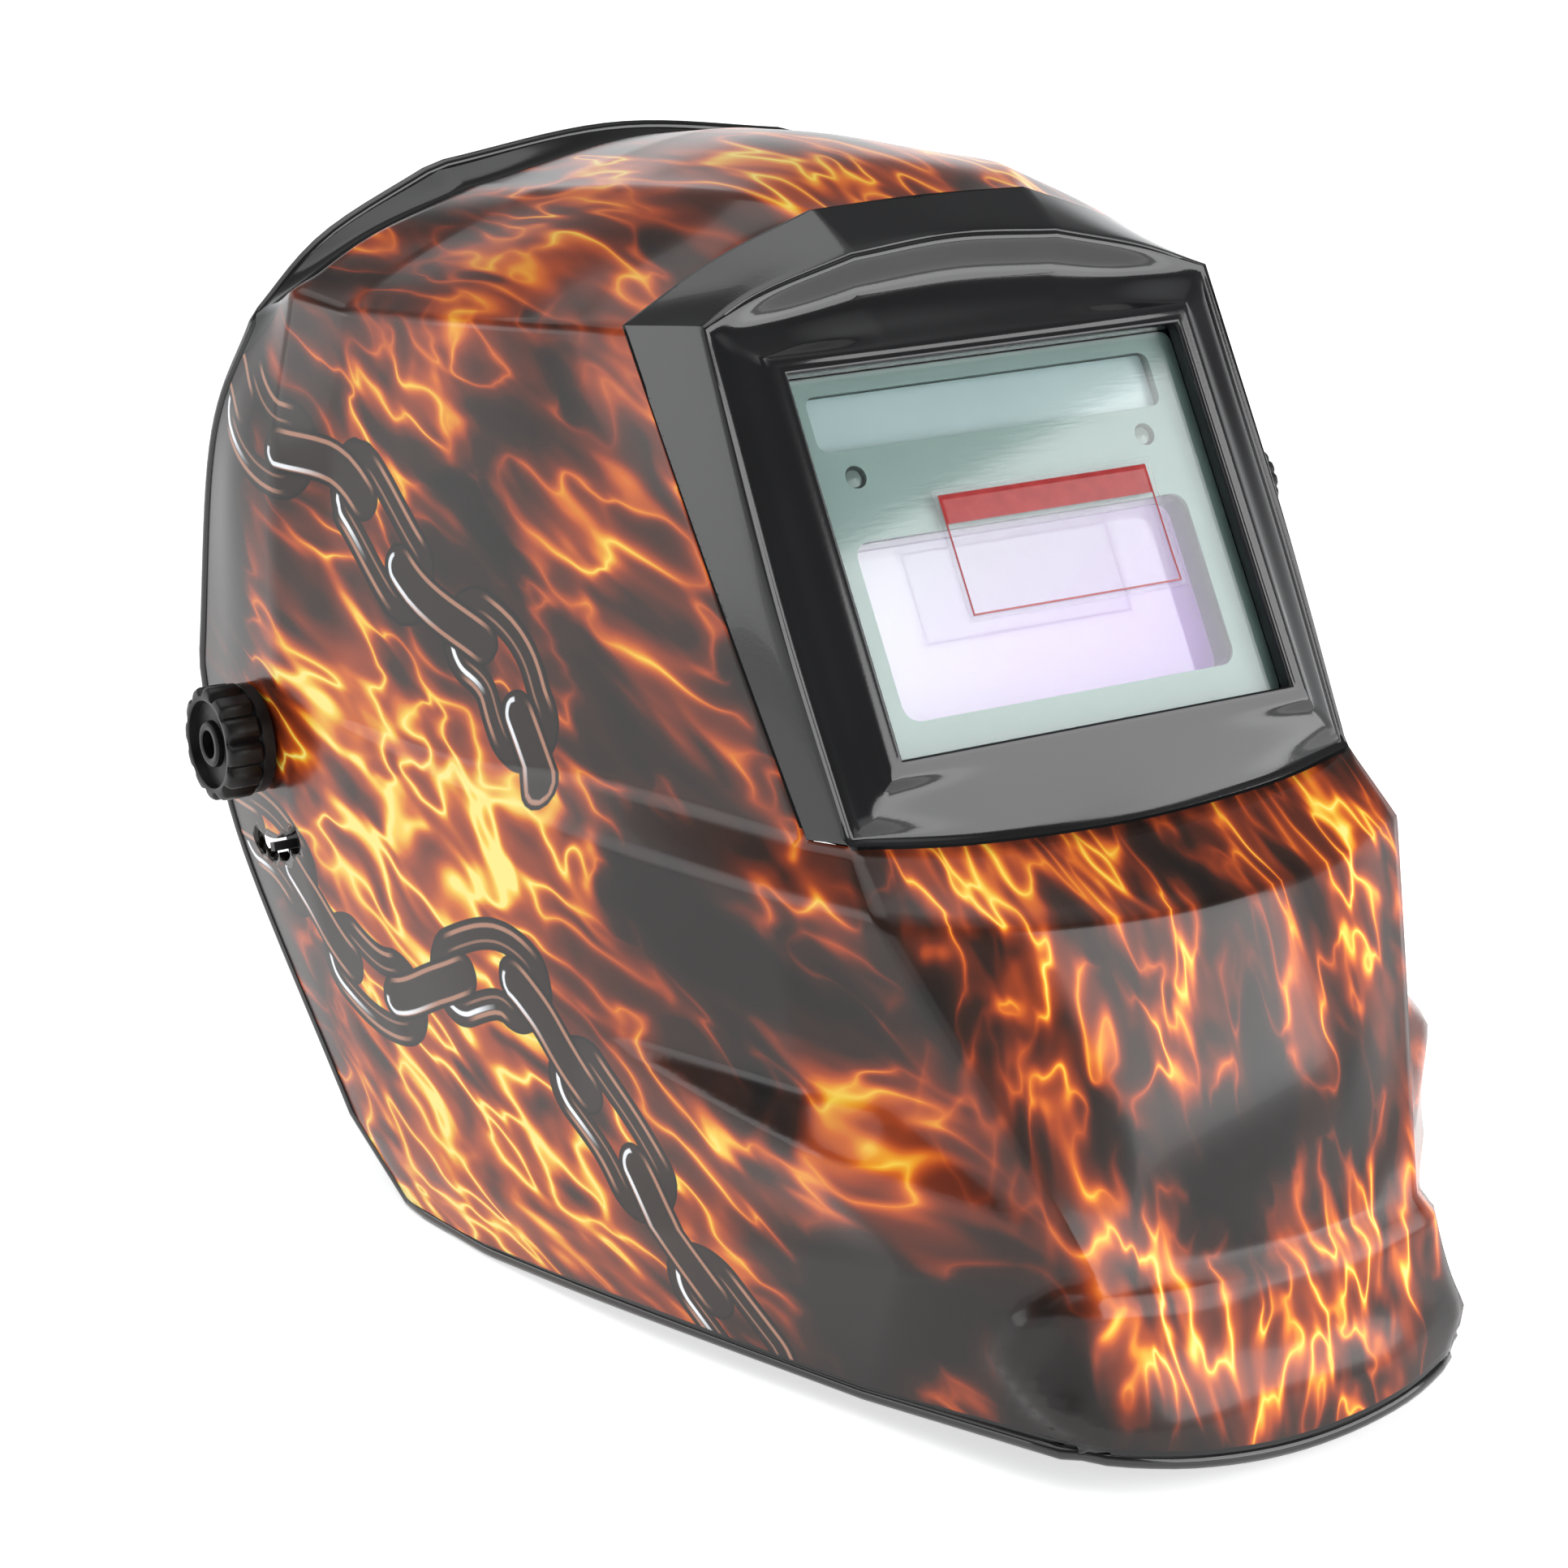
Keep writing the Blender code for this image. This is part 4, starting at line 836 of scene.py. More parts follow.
def make_shell():
    lower, lower_rows, lower_columns = lower_surface()
    upper, upper_rows, upper_columns = upper_surface(stations(COLUMN_SPANS[:SEAM]))

    def stacked(first, second):
        """Values of both grids; the upper one's first and last rows are the lower one's last row."""
        return np.concatenate([grid.reshape(-1, *grid.shape[2:]) for grid in (first, second[1:-1])])

    zones = stacked(print_zones(lower, lower_rows, lower_columns),
                    print_zones(upper, upper_rows, upper_columns))
    film, side = (stacked(*pair) for pair in zip(film_edges(lower, lower_rows, lower_columns, True),
                                                 film_edges(upper, upper_rows, upper_columns, False)))
    raised = cheek_step(lower) + chin_flare(lower) + rear_strip(lower_rows, lower_columns)
    lower = lower + grid_normals(lower) * raised[..., None]
    upper = upper + grid_normals(upper) * rear_strip(upper_rows, upper_columns)[..., None]

    width = upper.shape[1]
    lower_index = np.arange(lower_rows.size).reshape(lower_rows.shape)
    upper_index = np.zeros(upper_rows.shape, dtype=int)
    upper_index[0] = lower_index[-1, :width]
    upper_index[-1] = lower_index[-1, ::-1][:width]
    upper_index[1:-1] = lower_rows.size + np.arange(upper_rows[1:-1].size).reshape(-1, width)
    faces = np.concatenate([grid_faces(lower_index), grid_faces(upper_index)])
    mesh = mesh_from("helmet_shell", world(stacked(lower, upper)), faces, sharp=None)
    for name, values in (("zones", zones), ("film", film), ("chain_side", side)):
        add_layer(mesh, name, values)

    # a light smoothing rounds the creases, with the edges held
    shape = bmesh.new()
    shape.from_mesh(mesh)
    bmesh.ops.recalc_face_normals(shape, faces=shape.faces)
    inner = [vertex for vertex in shape.verts if not vertex.is_boundary]
    bmesh.ops.smooth_vert(shape, verts=inner, factor=0.2, use_axis_x=True, use_axis_y=True, use_axis_z=True)
    shape.to_mesh(mesh)
    loops = boundary_loops(shape)
    shape.free()
    shell = add_object("helmet_shell", mesh, printed_film())
    mesh.materials.append(BARE_BLACK)
    thicken(shell, SHELL_THICKNESS, -1.0, other=1, rim=1)
    cutter = slot_cutter()
    notch = shell.modifiers.new("slot", "BOOLEAN")
    notch.object = cutter
    notch.operation = "DIFFERENCE"
    notch.solver = "EXACT"
    bake_modifiers(shell)
    bpy.data.objects.remove(cutter, do_unlink=True)
    declare(shell, "shell_body", "shell_print", "shell")
    rim_bead(loops)


def boundary_loops(shape):
    """Chains of points along a surface's open edges, always in the same order."""
    edges = dict.fromkeys(edge for edge in shape.edges if edge.is_boundary)
    loops = []
    while edges:
        edge = next(iter(edges))
        del edges[edge]
        first, vertex = edge.verts
        loop = [first.co.copy()]
        while vertex is not first:
            loop.append(vertex.co.copy())
            edge = next(e for e in vertex.link_edges if e in edges)
            del edges[edge]
            vertex = edge.other_vert(vertex)
        loops.append(loop)
    return loops


def rim_bead(loops):
    """Rounded black bead along the shell's rear and lower edge."""
    loop = max(loops, key=lambda points: max(p.y for p in points))
    centre = Vector((0, 0, 0.12))
    points = [p + (centre - p).normalized() * BEAD_INSET * MM for p in loop[::2]]
    for point in points:
        point.z = max(point.z, BEAD_RADIUS * MM)
    curve = closed_curve("rim_bead", "3D", [points])
    curve.bevel_depth = BEAD_RADIUS * MM
    curve.bevel_resolution = 3
    declare(add_object("rim_bead", curve, BARE_BLACK), "shell_body", "shell_print")


def slot_cutter():
    """Arc slot about the tilt axis with a smooth upper edge and notches in its lower one."""
    start = SLOT_MIDDLE - SLOT_HALF_ANGLE
    end = SLOT_MIDDLE + SLOT_HALF_ANGLE
    outline = arc(SLOT_RADIUS - SLOT_UPPER, end, start, 21)
    for notch in range(SLOT_NOTCHES):
        middle = start + (end - start) * (notch + 0.5) / SLOT_NOTCHES
        for across in np.linspace(-1, 1, 11):
            reach = SLOT_LOWER + NOTCH_DEPTH * math.sqrt(1 - across**2)
            angle = middle + across * (end - start) / SLOT_NOTCHES / 2
            outline += arc(SLOT_RADIUS + reach, angle, angle, 1)
    rings = [[(-PIVOT_WALL + x, PIVOT_Y + y, PIVOT_Z + z) for y, z in outline] for x in (-9.0, 9.0)]
    count = len(outline)
    faces = [[i, (i + 1) % count, count + (i + 1) % count, count + i] for i in range(count)]
    faces += [list(range(count))[::-1], list(range(count, 2 * count))]
    mesh = mesh_from("slot_cutter", world(rings[0] + rings[1]), faces)
    outward(mesh)
    return add_object("slot_cutter", mesh)


# ---- visor frame


def visor_plane(points):
    """Datum-frame points as (x, depth, height) in the visor plane."""
    return tilted(points, -WINDOW_TILT)


VISOR_SPANS = [2, 2, 4, 4, 4, 4, 5, 5, 4, 4, 4, 3, 3, 1, 2, 4, 4]
VISOR_SHARP = {0, 1, 12, 13, 14, 15, 17}       # corners of the section
VISOR_CORNER = 6             # stations over which the face's edge rounds into its bottom edge


def make_visor_frame():
    """Picture frame round the window: flange, rounded edge, dished face, raised bead, opening."""
    lower, _, lower_columns = lower_surface()
    upper, _, _ = upper_surface(np.array([float(SEAM), float(CORNER)]))
    bottom = visor_plane(lower[-1][lower_columns[-1] >= CORNER - 1e-6])
    seam = visor_plane(upper[::-1, 0])
    edge = visor_plane(upper[::-1, 1])
    for station in range(VISOR_CORNER):
        share = 0.15 * (1 - station / VISOR_CORNER)
        for number, end in ((station, VISOR_CORNER), (-1 - station, -1 - VISOR_CORNER)):
            edge[number] += share * (edge[end] - edge[number])
    outer = np.concatenate([bottom, seam])
    face = np.concatenate([bottom, edge])
    below = len(bottom)

    half = WINDOW_WIDTH / 2
    side_rows = UPPER_SPANS[0] + UPPER_SPANS[1]
    arch_rows = len(seam) - 2 * side_rows
    heights = np.linspace(-WINDOW_HEIGHT, 0, side_rows + 2)[1:]
    opening = [(x, -WINDOW_HEIGHT) for x in np.linspace(-half, half, below)]
    opening += [(half, h) for h in heights]
    opening += [(x, 0.0) for x in np.linspace(half, -half, arch_rows)[1:-1]]
    opening += [(-half, h) for h in heights[::-1]]
    opening = np.array(opening)
    centre = np.array([0.0, -WINDOW_HEIGHT / 2])

    def window(grow, depth):
        scale = np.array([1 + 2 * grow / WINDOW_WIDTH, 1 + 2 * grow / WINDOW_HEIGHT])
        flat = (opening - centre) * scale + centre
        return np.stack([flat[:, 0], np.full(len(flat), depth), flat[:, 1]], axis=-1)

    def unit(vectors):
        return vectors / np.linalg.norm(vectors, axis=1, keepdims=True)

    towards = face - outer
    towards[:below] = (0, 0.15, 1)
    towards = unit(towards)
    inward = np.cross(np.roll(outer, -1, axis=0) - np.roll(outer, 1, axis=0), towards)
    inward[:below] = (0, 1, 0)
    inward = unit(inward)
    inward *= np.sign(np.einsum("ij,ij->i", inward, np.array([0.0, 30.0, centre[1]]) - outer))[:, None]
    pull = window(0, 0) - face
    pull[:, 1] = 0
    pull = unit(pull)
    under_arch = smooth((face[:, 2] - 12.0) / 12.0)

    def across(share, depth, cove=0.0):
        """A loop part of the way from the face's edge to the window, at its own depth."""
        loop = face + (window(0, 0) - face) * share
        loop[:, 1] = face[:, 1] * (1 - share) ** 1.5 + depth + cove * under_arch
        return loop

    flange = np.linalg.norm(face - outer, axis=1, keepdims=True)
    round_off = np.minimum(1.6, 0.4 * flange)
    edge_crest = face + 0.7 * pull + np.array([0.0, 0.2, 0.0])
    edge_crest[:below, 2] += 0.3
    controls = [
        outer + LENS_GAP * towards + 1.6 * inward,
        outer + LENS_GAP * towards,
        outer + 0.9 * towards,
        face - round_off * towards,
        edge_crest,
        face + 2.6 * pull + np.array([0.0, 0.3, 0.0]),
        across(0.30, 0.40, 4.2),
        across(0.60, 0.50, 3.2),
        window(4.0, 0.40),
        window(1.6, 0.22),
        window(0.8, 0.10),
        window(0.3, 0.20),
        window(0.0, 0.7),
        window(0.0, 4.0),
        window(4.2, 4.0),
        window(4.2, 6.0),
        face + 4.0 * pull + np.array([0.0, 4.8, 0.0]),
        outer + 1.4 * towards + 2.4 * inward,
    ]
    profile = weights(len(controls), VISOR_SHARP, stations(VISOR_SPANS))
    loops = np.einsum("li,isk->lsk", profile, np.array(controls))
    index = np.arange(loops.shape[0] * loops.shape[1]).reshape(loops.shape[:2])
    faces = grid_faces(index, wrap_rows=True, wrap_columns=True)
    mesh = mesh_from("visor_bezel", visor(loops), faces, 38.0)
    outward(mesh)
    bezel = add_object("visor_bezel", mesh, visor_plastic())
    declare(bezel, "shell_body", "gloss_black", "visor_frame")


# ---- knobs


def fluted_knob(name, node, body, profile, flutes, depth, lay, samples=12):
    """Turned knob with flutes. The profile is (along the axis, radius, share of the flutes' depth)."""
    count = flutes * samples
    turn = np.arange(count) * 2 * math.pi / count
    phase = np.arange(count) % samples / samples - 0.5
    groove = depth * np.exp(-(phase / 0.17) ** 2)
    rings = []
    for along, radius, share in profile:
        reach = radius - share * groove
        rings.append(np.stack([np.full(count, along), reach * np.cos(turn), reach * np.sin(turn)], axis=1))
    points = np.array(rings)
    index = np.arange(points.shape[0] * count).reshape(points.shape[0], count)
    faces = [tuple(face) for face in grid_faces(index, wrap_columns=True)]
    faces += [tuple(index[0])[::-1], tuple(index[-1])]
    mesh = mesh_from(name, lay(points.reshape(-1, 3)), faces, 34.0)
    outward(mesh)
    declare(add_object(name, mesh, SATIN_BLACK), body, "satin_black", node)


TENSION_PROFILE = (
    (0.9, 4.0, 0), (0.9, 13.3, 0), (1.2, 13.8, 0), (4.0, 13.8, 0), (4.3, 13.4, 0), (4.5, 13.2, 0.2),
    (4.7, 14.0, 0.8), (5.3, 14.5, 1), (8.5, 14.6, 1), (12.3, 14.5, 1), (13.0, 14.1, 1), (13.4, 13.3, 0.8),
    (13.5, 12.5, 0.2), (13.5, 11.5, 0), (13.3, 11.1, 0), (12.0, 10.9, 0), (11.3, 10.7, 0), (11.2, 10.2, 0),
    (11.2, 6.3, 0), (11.4, 5.9, 0), (12.8, 5.7, 0), (13.2, 5.3, 0), (13.3, 4.9, 0), (13.3, 3.9, 0),
    (13.1, 3.6, 0), (10.6, 3.5, 0), (10.4, 1.0, 0),
)
SHADE_PROFILE = (
    (3.8, 2.0, 0), (3.8, 10.3, 0), (4.2, 10.8, 0.4), (5.0, 10.95, 1), (9.6, 10.7, 1), (10.3, 10.2, 0.8),
    (10.7, 9.2, 0.2), (10.8, 8.0, 0), (10.4, 4.0, 0), (10.4, 1.0, 0),
)
RATCHET_PROFILE = (
    (85.1, 4.0, 0), (85.1, 18.6, 0), (85.6, 19.4, 0.5), (86.8, 19.9, 1), (91.0, 20.0, 1), (95.4, 19.6, 1),
    (96.9, 18.8, 1), (97.7, 17.2, 0.6), (98.0, 15.2, 0.1), (97.7, 13.4, 0), (96.6, 12.0, 0), (96.3, 9.0, 0),
    (96.9, 7.2, 0), (97.3, 5.6, 0), (97.4, 1.0, 0),
)


def make_knobs():
    for side, word in ((-1, "right"), (1, "left")):
        def beside(points, side=side):
            x, y, z = points.T
            return world(np.stack([side * (PIVOT_WALL + x), PIVOT_Y + y, PIVOT_Z + z], axis=1))
        fluted_knob(f"tension_grip_{word}", f"tension_knob_{word}", f"{word}_tension_knob",
                    TENSION_PROFILE, 12, 1.9, beside)

    def behind(points):
        x, y, z = points.T
        return head(np.stack([y, BAND_CENTRE_Y + x, BAND_LEVEL + z], axis=1))

    fluted_knob("shade_grip", "shade_knob", "shade_knob", SHADE_PROFILE, 18, 0.8,
                lambda points: world(points + np.array(SHADE_HOLE)))
    fluted_knob("ratchet_grip", "ratchet_knob", "ratchet", RATCHET_PROFILE, 10, 2.4, behind)


# ---- headgear


def strip(length, height, corner):
    return rounded_rectangle((length, height), corner, (length / 2, 0.0))


def bent_strap(name, node, body, outlines, path, thickness, upright=True, every=2.6):
    """Punched strap: outlines in (length, height), bent round a path and given its thickness."""
    path = np.array(path, dtype=float)
    run = np.concatenate([[0.0], np.cumsum(np.linalg.norm(np.diff(path, axis=0), axis=1))])
    mesh = flat_shape(name, outlines(run[-1]))
    shape = bmesh.new()
    shape.from_mesh(mesh)
    for place in np.arange(every, run[-1], every):
        whole = shape.verts[:] + shape.edges[:] + shape.faces[:]
        bmesh.ops.bisect_plane(shape, geom=whole, dist=1e-4, plane_co=(place, 0, 0), plane_no=(1, 0, 0))
    bmesh.ops.remove_doubles(shape, verts=shape.verts[:], dist=0.02)
    for vertex in shape.verts:
        x, out = (np.interp(vertex.co.x, run, path[:, axis]) for axis in (0, 1))
        y, z = (out, vertex.co.y) if upright else (vertex.co.y, out)
        vertex.co = head((x, BAND_CENTRE_Y + y, BAND_LEVEL + z))
    shape.to_mesh(mesh)
    shape.free()
    strap = add_object(name, mesh, STRAP_BLACK)
    thicken(strap, thickness)
    edge = strap.modifiers.new("edge", "BEVEL")
    edge.width = 0.4 * MM
    edge.segments = 2
    edge.limit_method = "ANGLE"
    edge.angle_limit = math.radians(50)
    bake_modifiers(strap)
    strap.data.shade_smooth()
    strap.data.set_sharp_from_angle(angle=math.radians(35))
    declare(strap, body, "strap_black", node)


def racked_slot(start, end, half_height, tooth=2.6):
    """Long opening with a row of rack teeth along one edge."""
    outline = [(start, half_height), (start, -half_height)]
    place = start + tooth
    while place < end - tooth:
        outline += [(place, -half_height), (place + tooth * 0.3, -half_height + 1.5),
                    (place + tooth * 0.6, -half_height + 1.5), (place + tooth * 0.9, -half_height)]
        place += tooth
    return outline + [(end, -half_height), (end, half_height)]

def band_outlines(length):
    middle = length / 2
    holes = [oblong(middle + x, y, 13.0, 4.0) for x in (-72, -36, 0, 36, 72) for y in (-7.0, 7.0)]
    holes += [oblong(middle + x, 0, 13.0, 4.0) for x in (-54, -18, 18, 54)]
    holes += [circle(1.7, middle + x * 9.0) for x in (-17, -16, 16, 17)]
    return [strip(length, 26.0, 5.0)] + holes


def crown_outlines(length):
    holes = [circle(2.3, length - 10.3 - 9.0 * number) for number in range(7)]
    holes += [oblong(24.0 + 15.0 * number, 0, 9.0, 3.4) for number in range(3)]
    return [strip(length, 18.0, 6.0)] + holes


def make_straps():
    band = arc(BAND_RADIUS, 160, 180, 8)[:-1]
    angles = np.radians(np.linspace(180, 360, 90))
    band += [(BAND_RADIUS * math.cos(a), BAND_FRONT * math.sin(a)) for a in angles]
    band += arc(BAND_RADIUS, 0, 20, 8)[1:]
    bent_strap("forehead_band", "headband_front", "headband", band_outlines, band, STRAP_THICKNESS)
    for word, radius, side in REAR_STRAPS:
        path = [(side * x, y) for x, y in arc(radius, 2, 112, 70)]
        first, last = radius * math.radians(66), radius * math.radians(108)

        def strap_outlines(length, first=first, last=last):
            holes = [circle(1.6, 14.0 + 8.5 * number) for number in range(8)]
            return [strip(length, STRAP_HEIGHT, 6.0), racked_slot(first, last, 6.5)] + holes

        bent_strap(f"racked_strap_{word}", f"rear_strap_{word}", f"{word}_rear_strap", strap_outlines,
                   path, STRAP_THICKNESS)
    for word, radius, side in CROWN_STRAPS:
        squeeze = (radius - CROWN_START) / radius
        path = [(radius, -9.0), (radius, -0.01)]
        path += [(x, CROWN_START + y * squeeze) for x, y in arc(radius, 0, 97, 70)]
        bent_strap(f"punched_strap_{word}", f"crown_strap_{word}", "headband", crown_outlines,
                   [(side * x, y) for x, y in path], CROWN_THICKNESS, upright=False)


def vertex_values(mesh, key):
    values = np.empty(len(mesh.vertices) * 3)
    mesh.vertices.foreach_get(key, values)
    return values.reshape(-1, 3)


def move_vertices(mesh, points):
    mesh.vertices.foreach_set("co", points.ravel())
    mesh.update()


def blow_up(pad):
    """Swell the pad's cloth a little by air pressure, with no gravity."""
    cloth = pad.modifiers.new("cloth", "CLOTH")
    cloth.settings.use_pressure = True
    cloth.settings.uniform_pressure_force = 4.0
    cloth.settings.effector_weights.gravity = 0.0
    cloth.settings.quality = 5
    cloth.settings.tension_stiffness = 12.0
    cloth.settings.compression_stiffness = 12.0
    cloth.collision_settings.use_collision = False
    for number in range(1, PAD_FRAMES + 1):
        bpy.context.scene.frame_set(number)
    bake_modifiers(pad)
    bpy.context.scene.frame_set(1)


def make_pad(name, node, channels, half_angle, middle, stretch):
    """Foam pad in looped cloth, blown up a little by the simulation, with sewn channels.

    The angles are about the headband's centre; stretch is the band's length over its width there."""
    mesh = frame["nodes"][node].data.copy()
    mesh.materials.clear()
    pad = add_object(name, mesh, FOAM)
    even = pad.modifiers.new("even", "REMESH")
    even.mode = "VOXEL"
    even.voxel_size = PAD_VOXEL * MM
    bake_modifiers(pad)
    start = vertex_values(pad.data, "co") - PAD_SHRINK * MM * vertex_values(pad.data, "normal")
    move_vertices(pad.data, start)
    blow_up(pad)
    mesh = pad.data
    push = vertex_values(mesh, "co") - start
    far = np.linalg.norm(push, axis=1, keepdims=True)
    points = start + push * np.minimum(1.0, PAD_CAP * MM / np.maximum(far, 1e-9))
    move_vertices(mesh, points)
    # sewn channels across the pad, which end before its rounded edges
    local = tilted(points / MM - DATUM - np.array([0, PIVOT_Y, PIVOT_Z]), -HEAD_TILT)
    turn = np.degrees(np.arctan2(local[:, 1] - BAND_CENTRE_Y, local[:, 0] * stretch))
    away = (turn - middle + 180.0) % 360.0 - 180.0
    sewn = np.zeros(len(points))
    for channel in range(channels):
        centre = half_angle * (2 * (channel + 0.5) / channels - 1)
        sewn += np.exp(-((away - centre) / 1.3) ** 2)
    sewn *= 1 - smooth((np.abs(local[:, 2] - BAND_LEVEL) - 9.0) / 5.0)
    sewn *= 1 - smooth((np.abs(away) - half_angle) / 3.0)
    move_vertices(mesh, points - (SEW_DEPTH * MM * sewn)[:, None] * vertex_values(mesh, "normal"))
    finer = pad.modifiers.new("finer", "SUBSURF")
    finer.levels = 1
    finer.render_levels = 1
    bake_modifiers(pad)
    pad.data.shade_smooth()
    declare(pad, "headband", "foam", node)


# ---- cartridge


def make_filter_cell():
    """Pocket of the filter: walls from the housing's face down to the lit floor, dark behind."""
    rings = []
    levels = []
    for shrink, depth in ((0, LCD_FRONT), (0, LCD_FRONT + 2), (0, LCD_FLOOR - 0.3), (0.2, LCD_FLOOR),
                          (6, LCD_FLOOR)):
        size = (LCD_SIZE[0] - 2 * shrink, LCD_SIZE[1] - 2 * shrink)
        ring = rounded_rectangle(size, LCD_CORNER, (0.0, LCD_MIDDLE))
        rings.append([(x, depth, z) for x, z in ring])
        levels += [(depth - LCD_FRONT) / (LCD_FLOOR - LCD_FRONT)] * len(ring)
    points = np.array(rings)
    index = np.arange(points.shape[0] * points.shape[1]).reshape(points.shape[:2])
    faces = [tuple(face) for face in grid_faces(index, wrap_columns=True)] + [tuple(index[-1])]
    mesh = mesh_from("filter_cell", visor(points), faces)
    add_layer(mesh, "depth", levels)
    cell = add_object("filter_cell", mesh, lcd_filter())
    mesh.materials.append(dark_filter())
    thicken(cell, 0.35, 1.0 if mesh.polygons[-1].normal.y > 0 else -1.0, other=1)
    declare(cell, "shell_body", "lcd_glass", "filter_glass")


def make_cartridge_face():
    """Face of the cartridge, with rounded openings over the filter, solar cell and sensors."""
    x, z = SENSOR_SPOT
    mesh = flat_shape("cartridge_face", [
        rounded_rectangle(HOUSING_SIZE, 3.0, (0.0, HOUSING_MIDDLE)),
        rounded_rectangle(LCD_SIZE, LCD_CORNER, (0.0, LCD_MIDDLE)),
        rounded_rectangle(STRIP_SIZE, 2.6, (0.0, STRIP_MIDDLE)),
        circle(SENSOR_RADIUS, -x, z), circle(SENSOR_RADIUS, x, z)])
    for vertex in mesh.vertices:
        vertex.co = visor((vertex.co.x, HOUSING_FACE, vertex.co.y))
    face = add_object("cartridge_face", mesh, HOUSING_GREEN)
    thicken(face, 0.4)
    declare(face, "shell_body", "satin_black")


def make_blank_film():
    """Thin film stuck on the front lens, a little lifted at one corner."""
    width, height = FILM_SIZE
    u, v = np.meshgrid(np.linspace(0, 1, 25), np.linspace(0, 1, 13))
    lift = 0.25 * smooth((u + v - 1.65) / 0.35)
    points = np.stack([FILM_LEFT + u * width, FILM_DEPTH - lift, FILM_TOP - v * height], axis=-1)
    mesh = mesh_from("blank_film", visor(points), grid_faces(np.arange(u.size).reshape(u.shape)))
    place = np.stack([u * width - FILM_MARGIN, v * height - FILM_MARGIN, np.zeros_like(u)], axis=-1)
    add_layer(mesh, "film_place", place)
    film = add_object("blank_film", mesh, blank_film_look())
    thicken(film, 0.06, -1.0)
    declare(film, "shell_body", "clear_lens")


# ---- stage

FLOOR_GLOW = 0.68            # the sweep is lit from below, as on a light table
FLOOR_RADIUS = 9.0
SKY_STRENGTH = 1.15
SKY = (                      # sine of the height above the horizon, share of the brightness
    (0.0, 1.0), (0.24, 0.95), (0.38, 0.22), (0.80, 0.18), (0.95, 0.8),
)
OVERHEAD = (1.25, 70.0, (-14.0, -16.0, 0.0))       # strength, angle across and tilt
LIT_SPOT = (0, 0, 0.15)
SOFTBOXES = (                # name, place, size, power
    ("front_softbox", (1.0, -1.75, 0.92), (2.2, 1.35), 36.0),
    ("left_softbox", (-2.0, 1.1, 0.5), (1.6, 0.6), 5.0),
)
LENS = 94.23
CAMERA_SPOT = (-518.36, -746.71, 191.8)
CAMERA_TURN = (72.0, 0.0, -31.871)


def radians(angles):
    return tuple(math.radians(angle) for angle in angles)


def make_stage():
    outline = [(x, y, 0.0) for x, y in circle(FLOOR_RADIUS, 0.0, steps=96)]
    mesh = mesh_from("floor", outline, [range(len(outline))], None)
    look = Look("floor")
    pale = look.ramp(look.noise(1.5), (0.0, (0.86,) * 3), (1.0, (0.90,) * 3))
    look.set(Base_Color=pale, Roughness=0.7, Emission_Color=pale, Emission_Strength=FLOOR_GLOW)
    add_object("floor", mesh, look.material)


def make_lights():
    """White sweep behind, dark above it, a wide soft source overhead and two long softboxes."""
    sky = Look("studio", bpy.data.worlds.new("studio"), "Background")
    height = sky.parts(sky.node("ShaderNodeTexCoord", "Generated", {}))[2]
    stops = [(place, (level * 0.98, level * 0.99, level)) for place, level in SKY]
    sky.set(Color=sky.ramp(height, *stops), Strength=SKY_STRENGTH)
    bpy.context.scene.world = sky.material
    overhead = bpy.data.lights.new("overhead", "SUN")
    overhead.energy = OVERHEAD[0]
    overhead.angle = math.radians(OVERHEAD[1])
    add_object("overhead", overhead).rotation_euler = radians(OVERHEAD[2])
    for name, place, size, power in SOFTBOXES:
        light = bpy.data.lights.new(name, "AREA")
        light.shape = "RECTANGLE"
        light.size, light.size_y = size
        light.energy = power
        softbox = add_object(name, light)
        softbox.location = place
        softbox.rotation_euler = (Vector(LIT_SPOT) - Vector(place)).to_track_quat("-Z", "Y").to_euler()


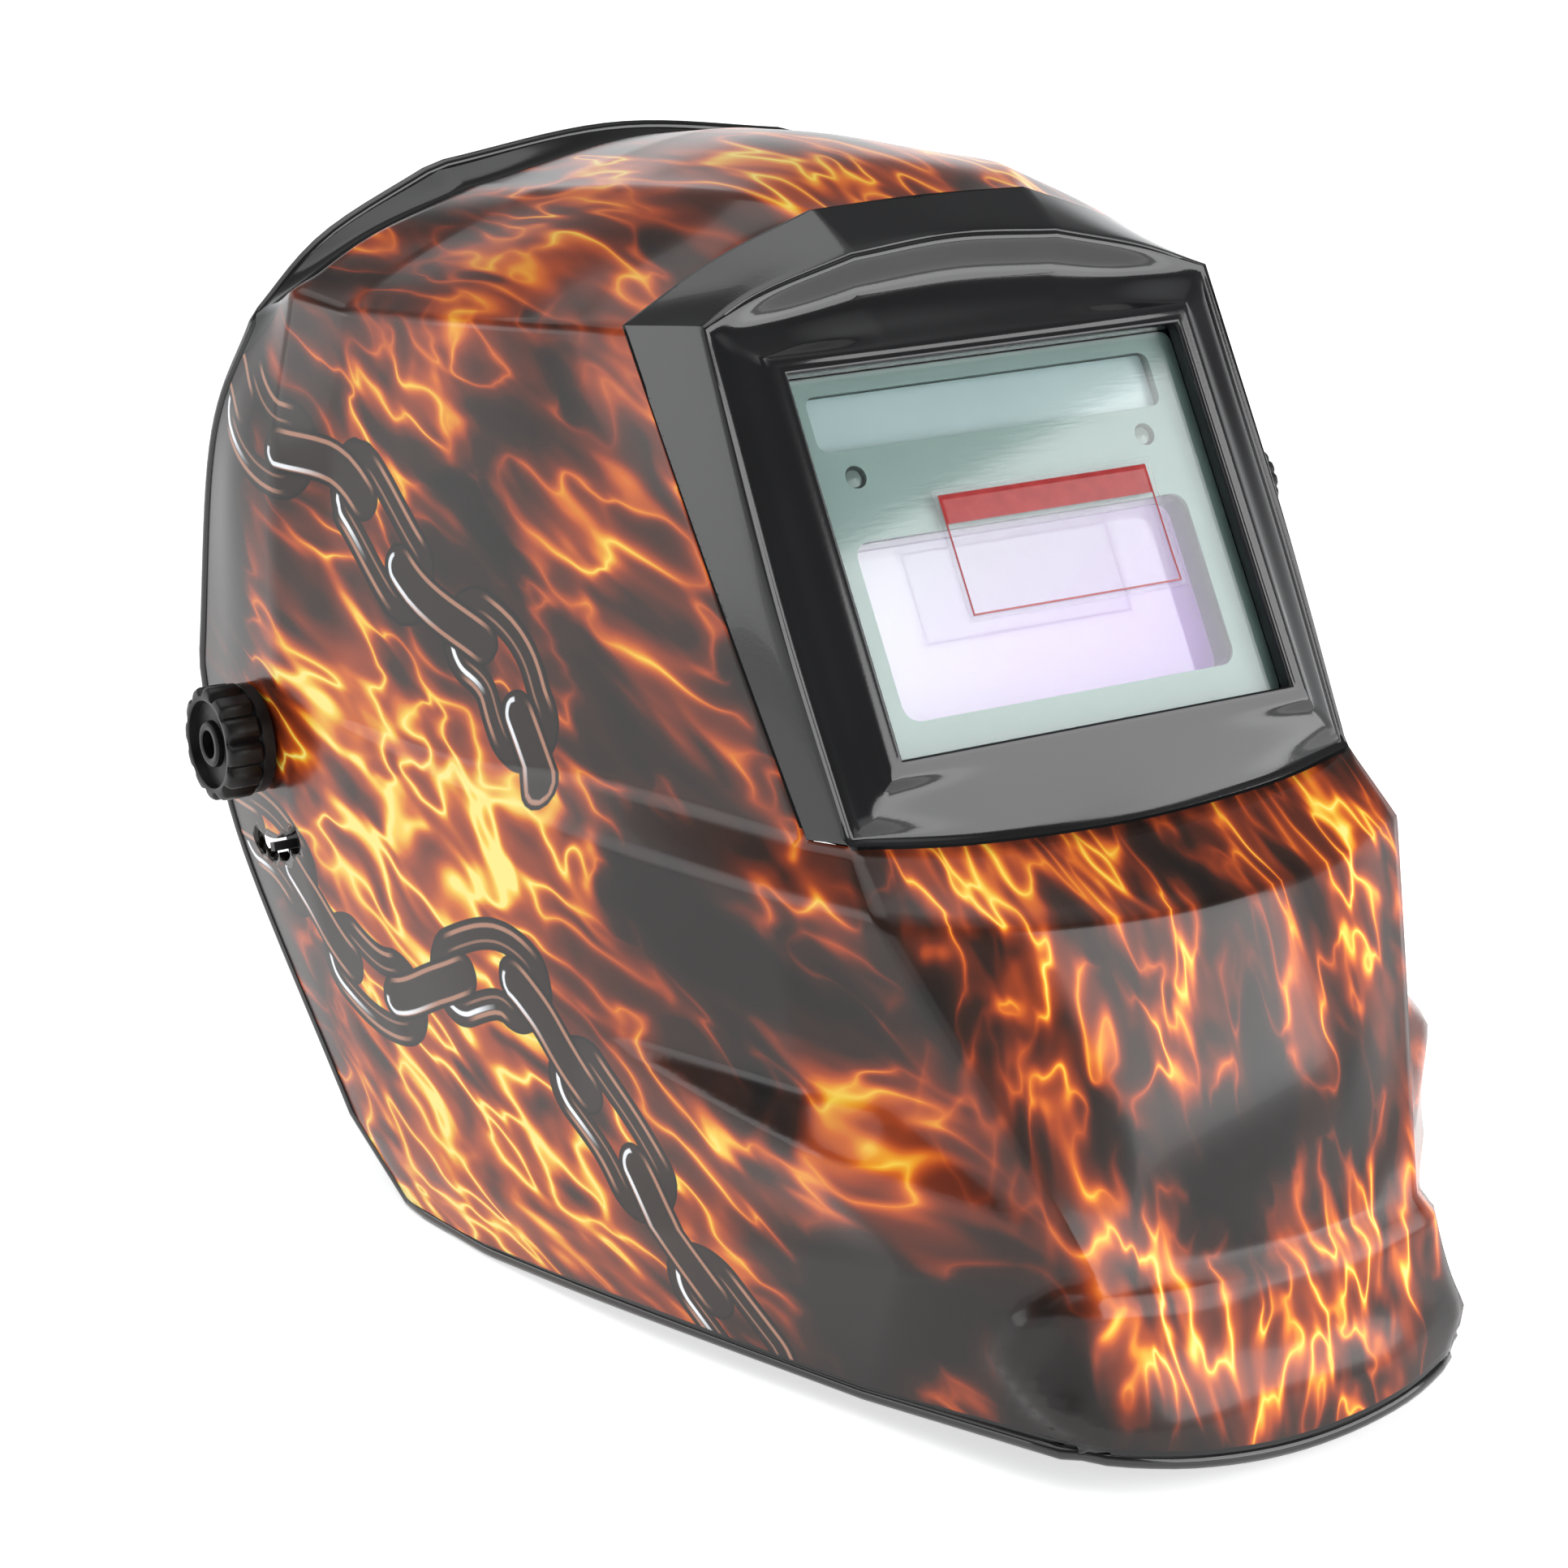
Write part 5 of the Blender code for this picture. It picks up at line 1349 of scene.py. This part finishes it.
def make_camera():
    """View from the front of the wearer's right, a little from above, in plain display colours."""
    camera = bpy.data.cameras.new("camera")
    camera.lens = LENS
    camera.sensor_width = 36.0
    made = add_object("camera", camera)
    made.location = world(CAMERA_SPOT)
    made.rotation_euler = radians(CAMERA_TURN)
    bpy.context.scene.camera = made
    bpy.context.scene.view_settings.view_transform = "Standard"


BARE_BLACK = plastic("bare_black", (0.0035, 0.0035, 0.004), 0.14, grain=0.03, grain_scale=700.0, coat=0.3)
SATIN_BLACK = plastic("satin_black", (0.0045, 0.0042, 0.0042), 0.36, grain=0.05, specular=0.25)
STRAP_BLACK = plastic("strap_black", (0.017, 0.017, 0.018), 0.46, grain=0.05, grain_scale=600.0)
FOAM = terry("foam", (0.034, 0.034, 0.038))
HOUSING_GREEN = plastic("housing_green", (0.30, 0.40, 0.385), 0.32, grain=0.02, vary=0.06)
NODE_LOOKS = {
    clear_plastic(): ("front_cover_lens", "inner_cover_lens"),
    solar_strip(): ("solar_cell",),
    HOUSING_GREEN: ("filter_housing",),
    plastic("board_green", (0.012, 0.085, 0.03), 0.45): ("control_board",),
    plastic("button_red", (0.26, 0.015, 0.010), 0.35): ("test_button",),
    plastic("sensor_dark", (0.20, 0.26, 0.25), 0.25, coat=0.4): ("arc_sensor_left", "arc_sensor_right"),
    metal("steel", (0.42, 0.42, 0.44), 0.3): (
        "battery", "retainer_pin", "shade_potentiometer", "pivot_bolt_left", "pivot_bolt_right"),
    STRAP_BLACK: (
        "pivot_bracket_left", "pivot_bracket_right", "tilt_stop_arm", "shade_cable",
        "friction_washer_left", "friction_washer_right"),
    SATIN_BLACK: (
        "filter_back_cover", "filter_holder", "filter_retainer", "sensitivity_knob", "delay_knob",
        "ratchet_housing", "ratchet_pinion", "crown_stud", "slide_stud_left", "slide_stud_right"),
}

make_camera()
make_stage()
make_lights()
make_shell()
make_visor_frame()
make_filter_cell()
make_cartridge_face()
make_blank_film()
make_knobs()
make_straps()
for pad_values in PADS:
    make_pad(*pad_values)
for node_material, node_names in NODE_LOOKS.items():
    for node_name in node_names:
        materials = frame["nodes"][node_name].data.materials
        materials.clear()
        materials.append(node_material)
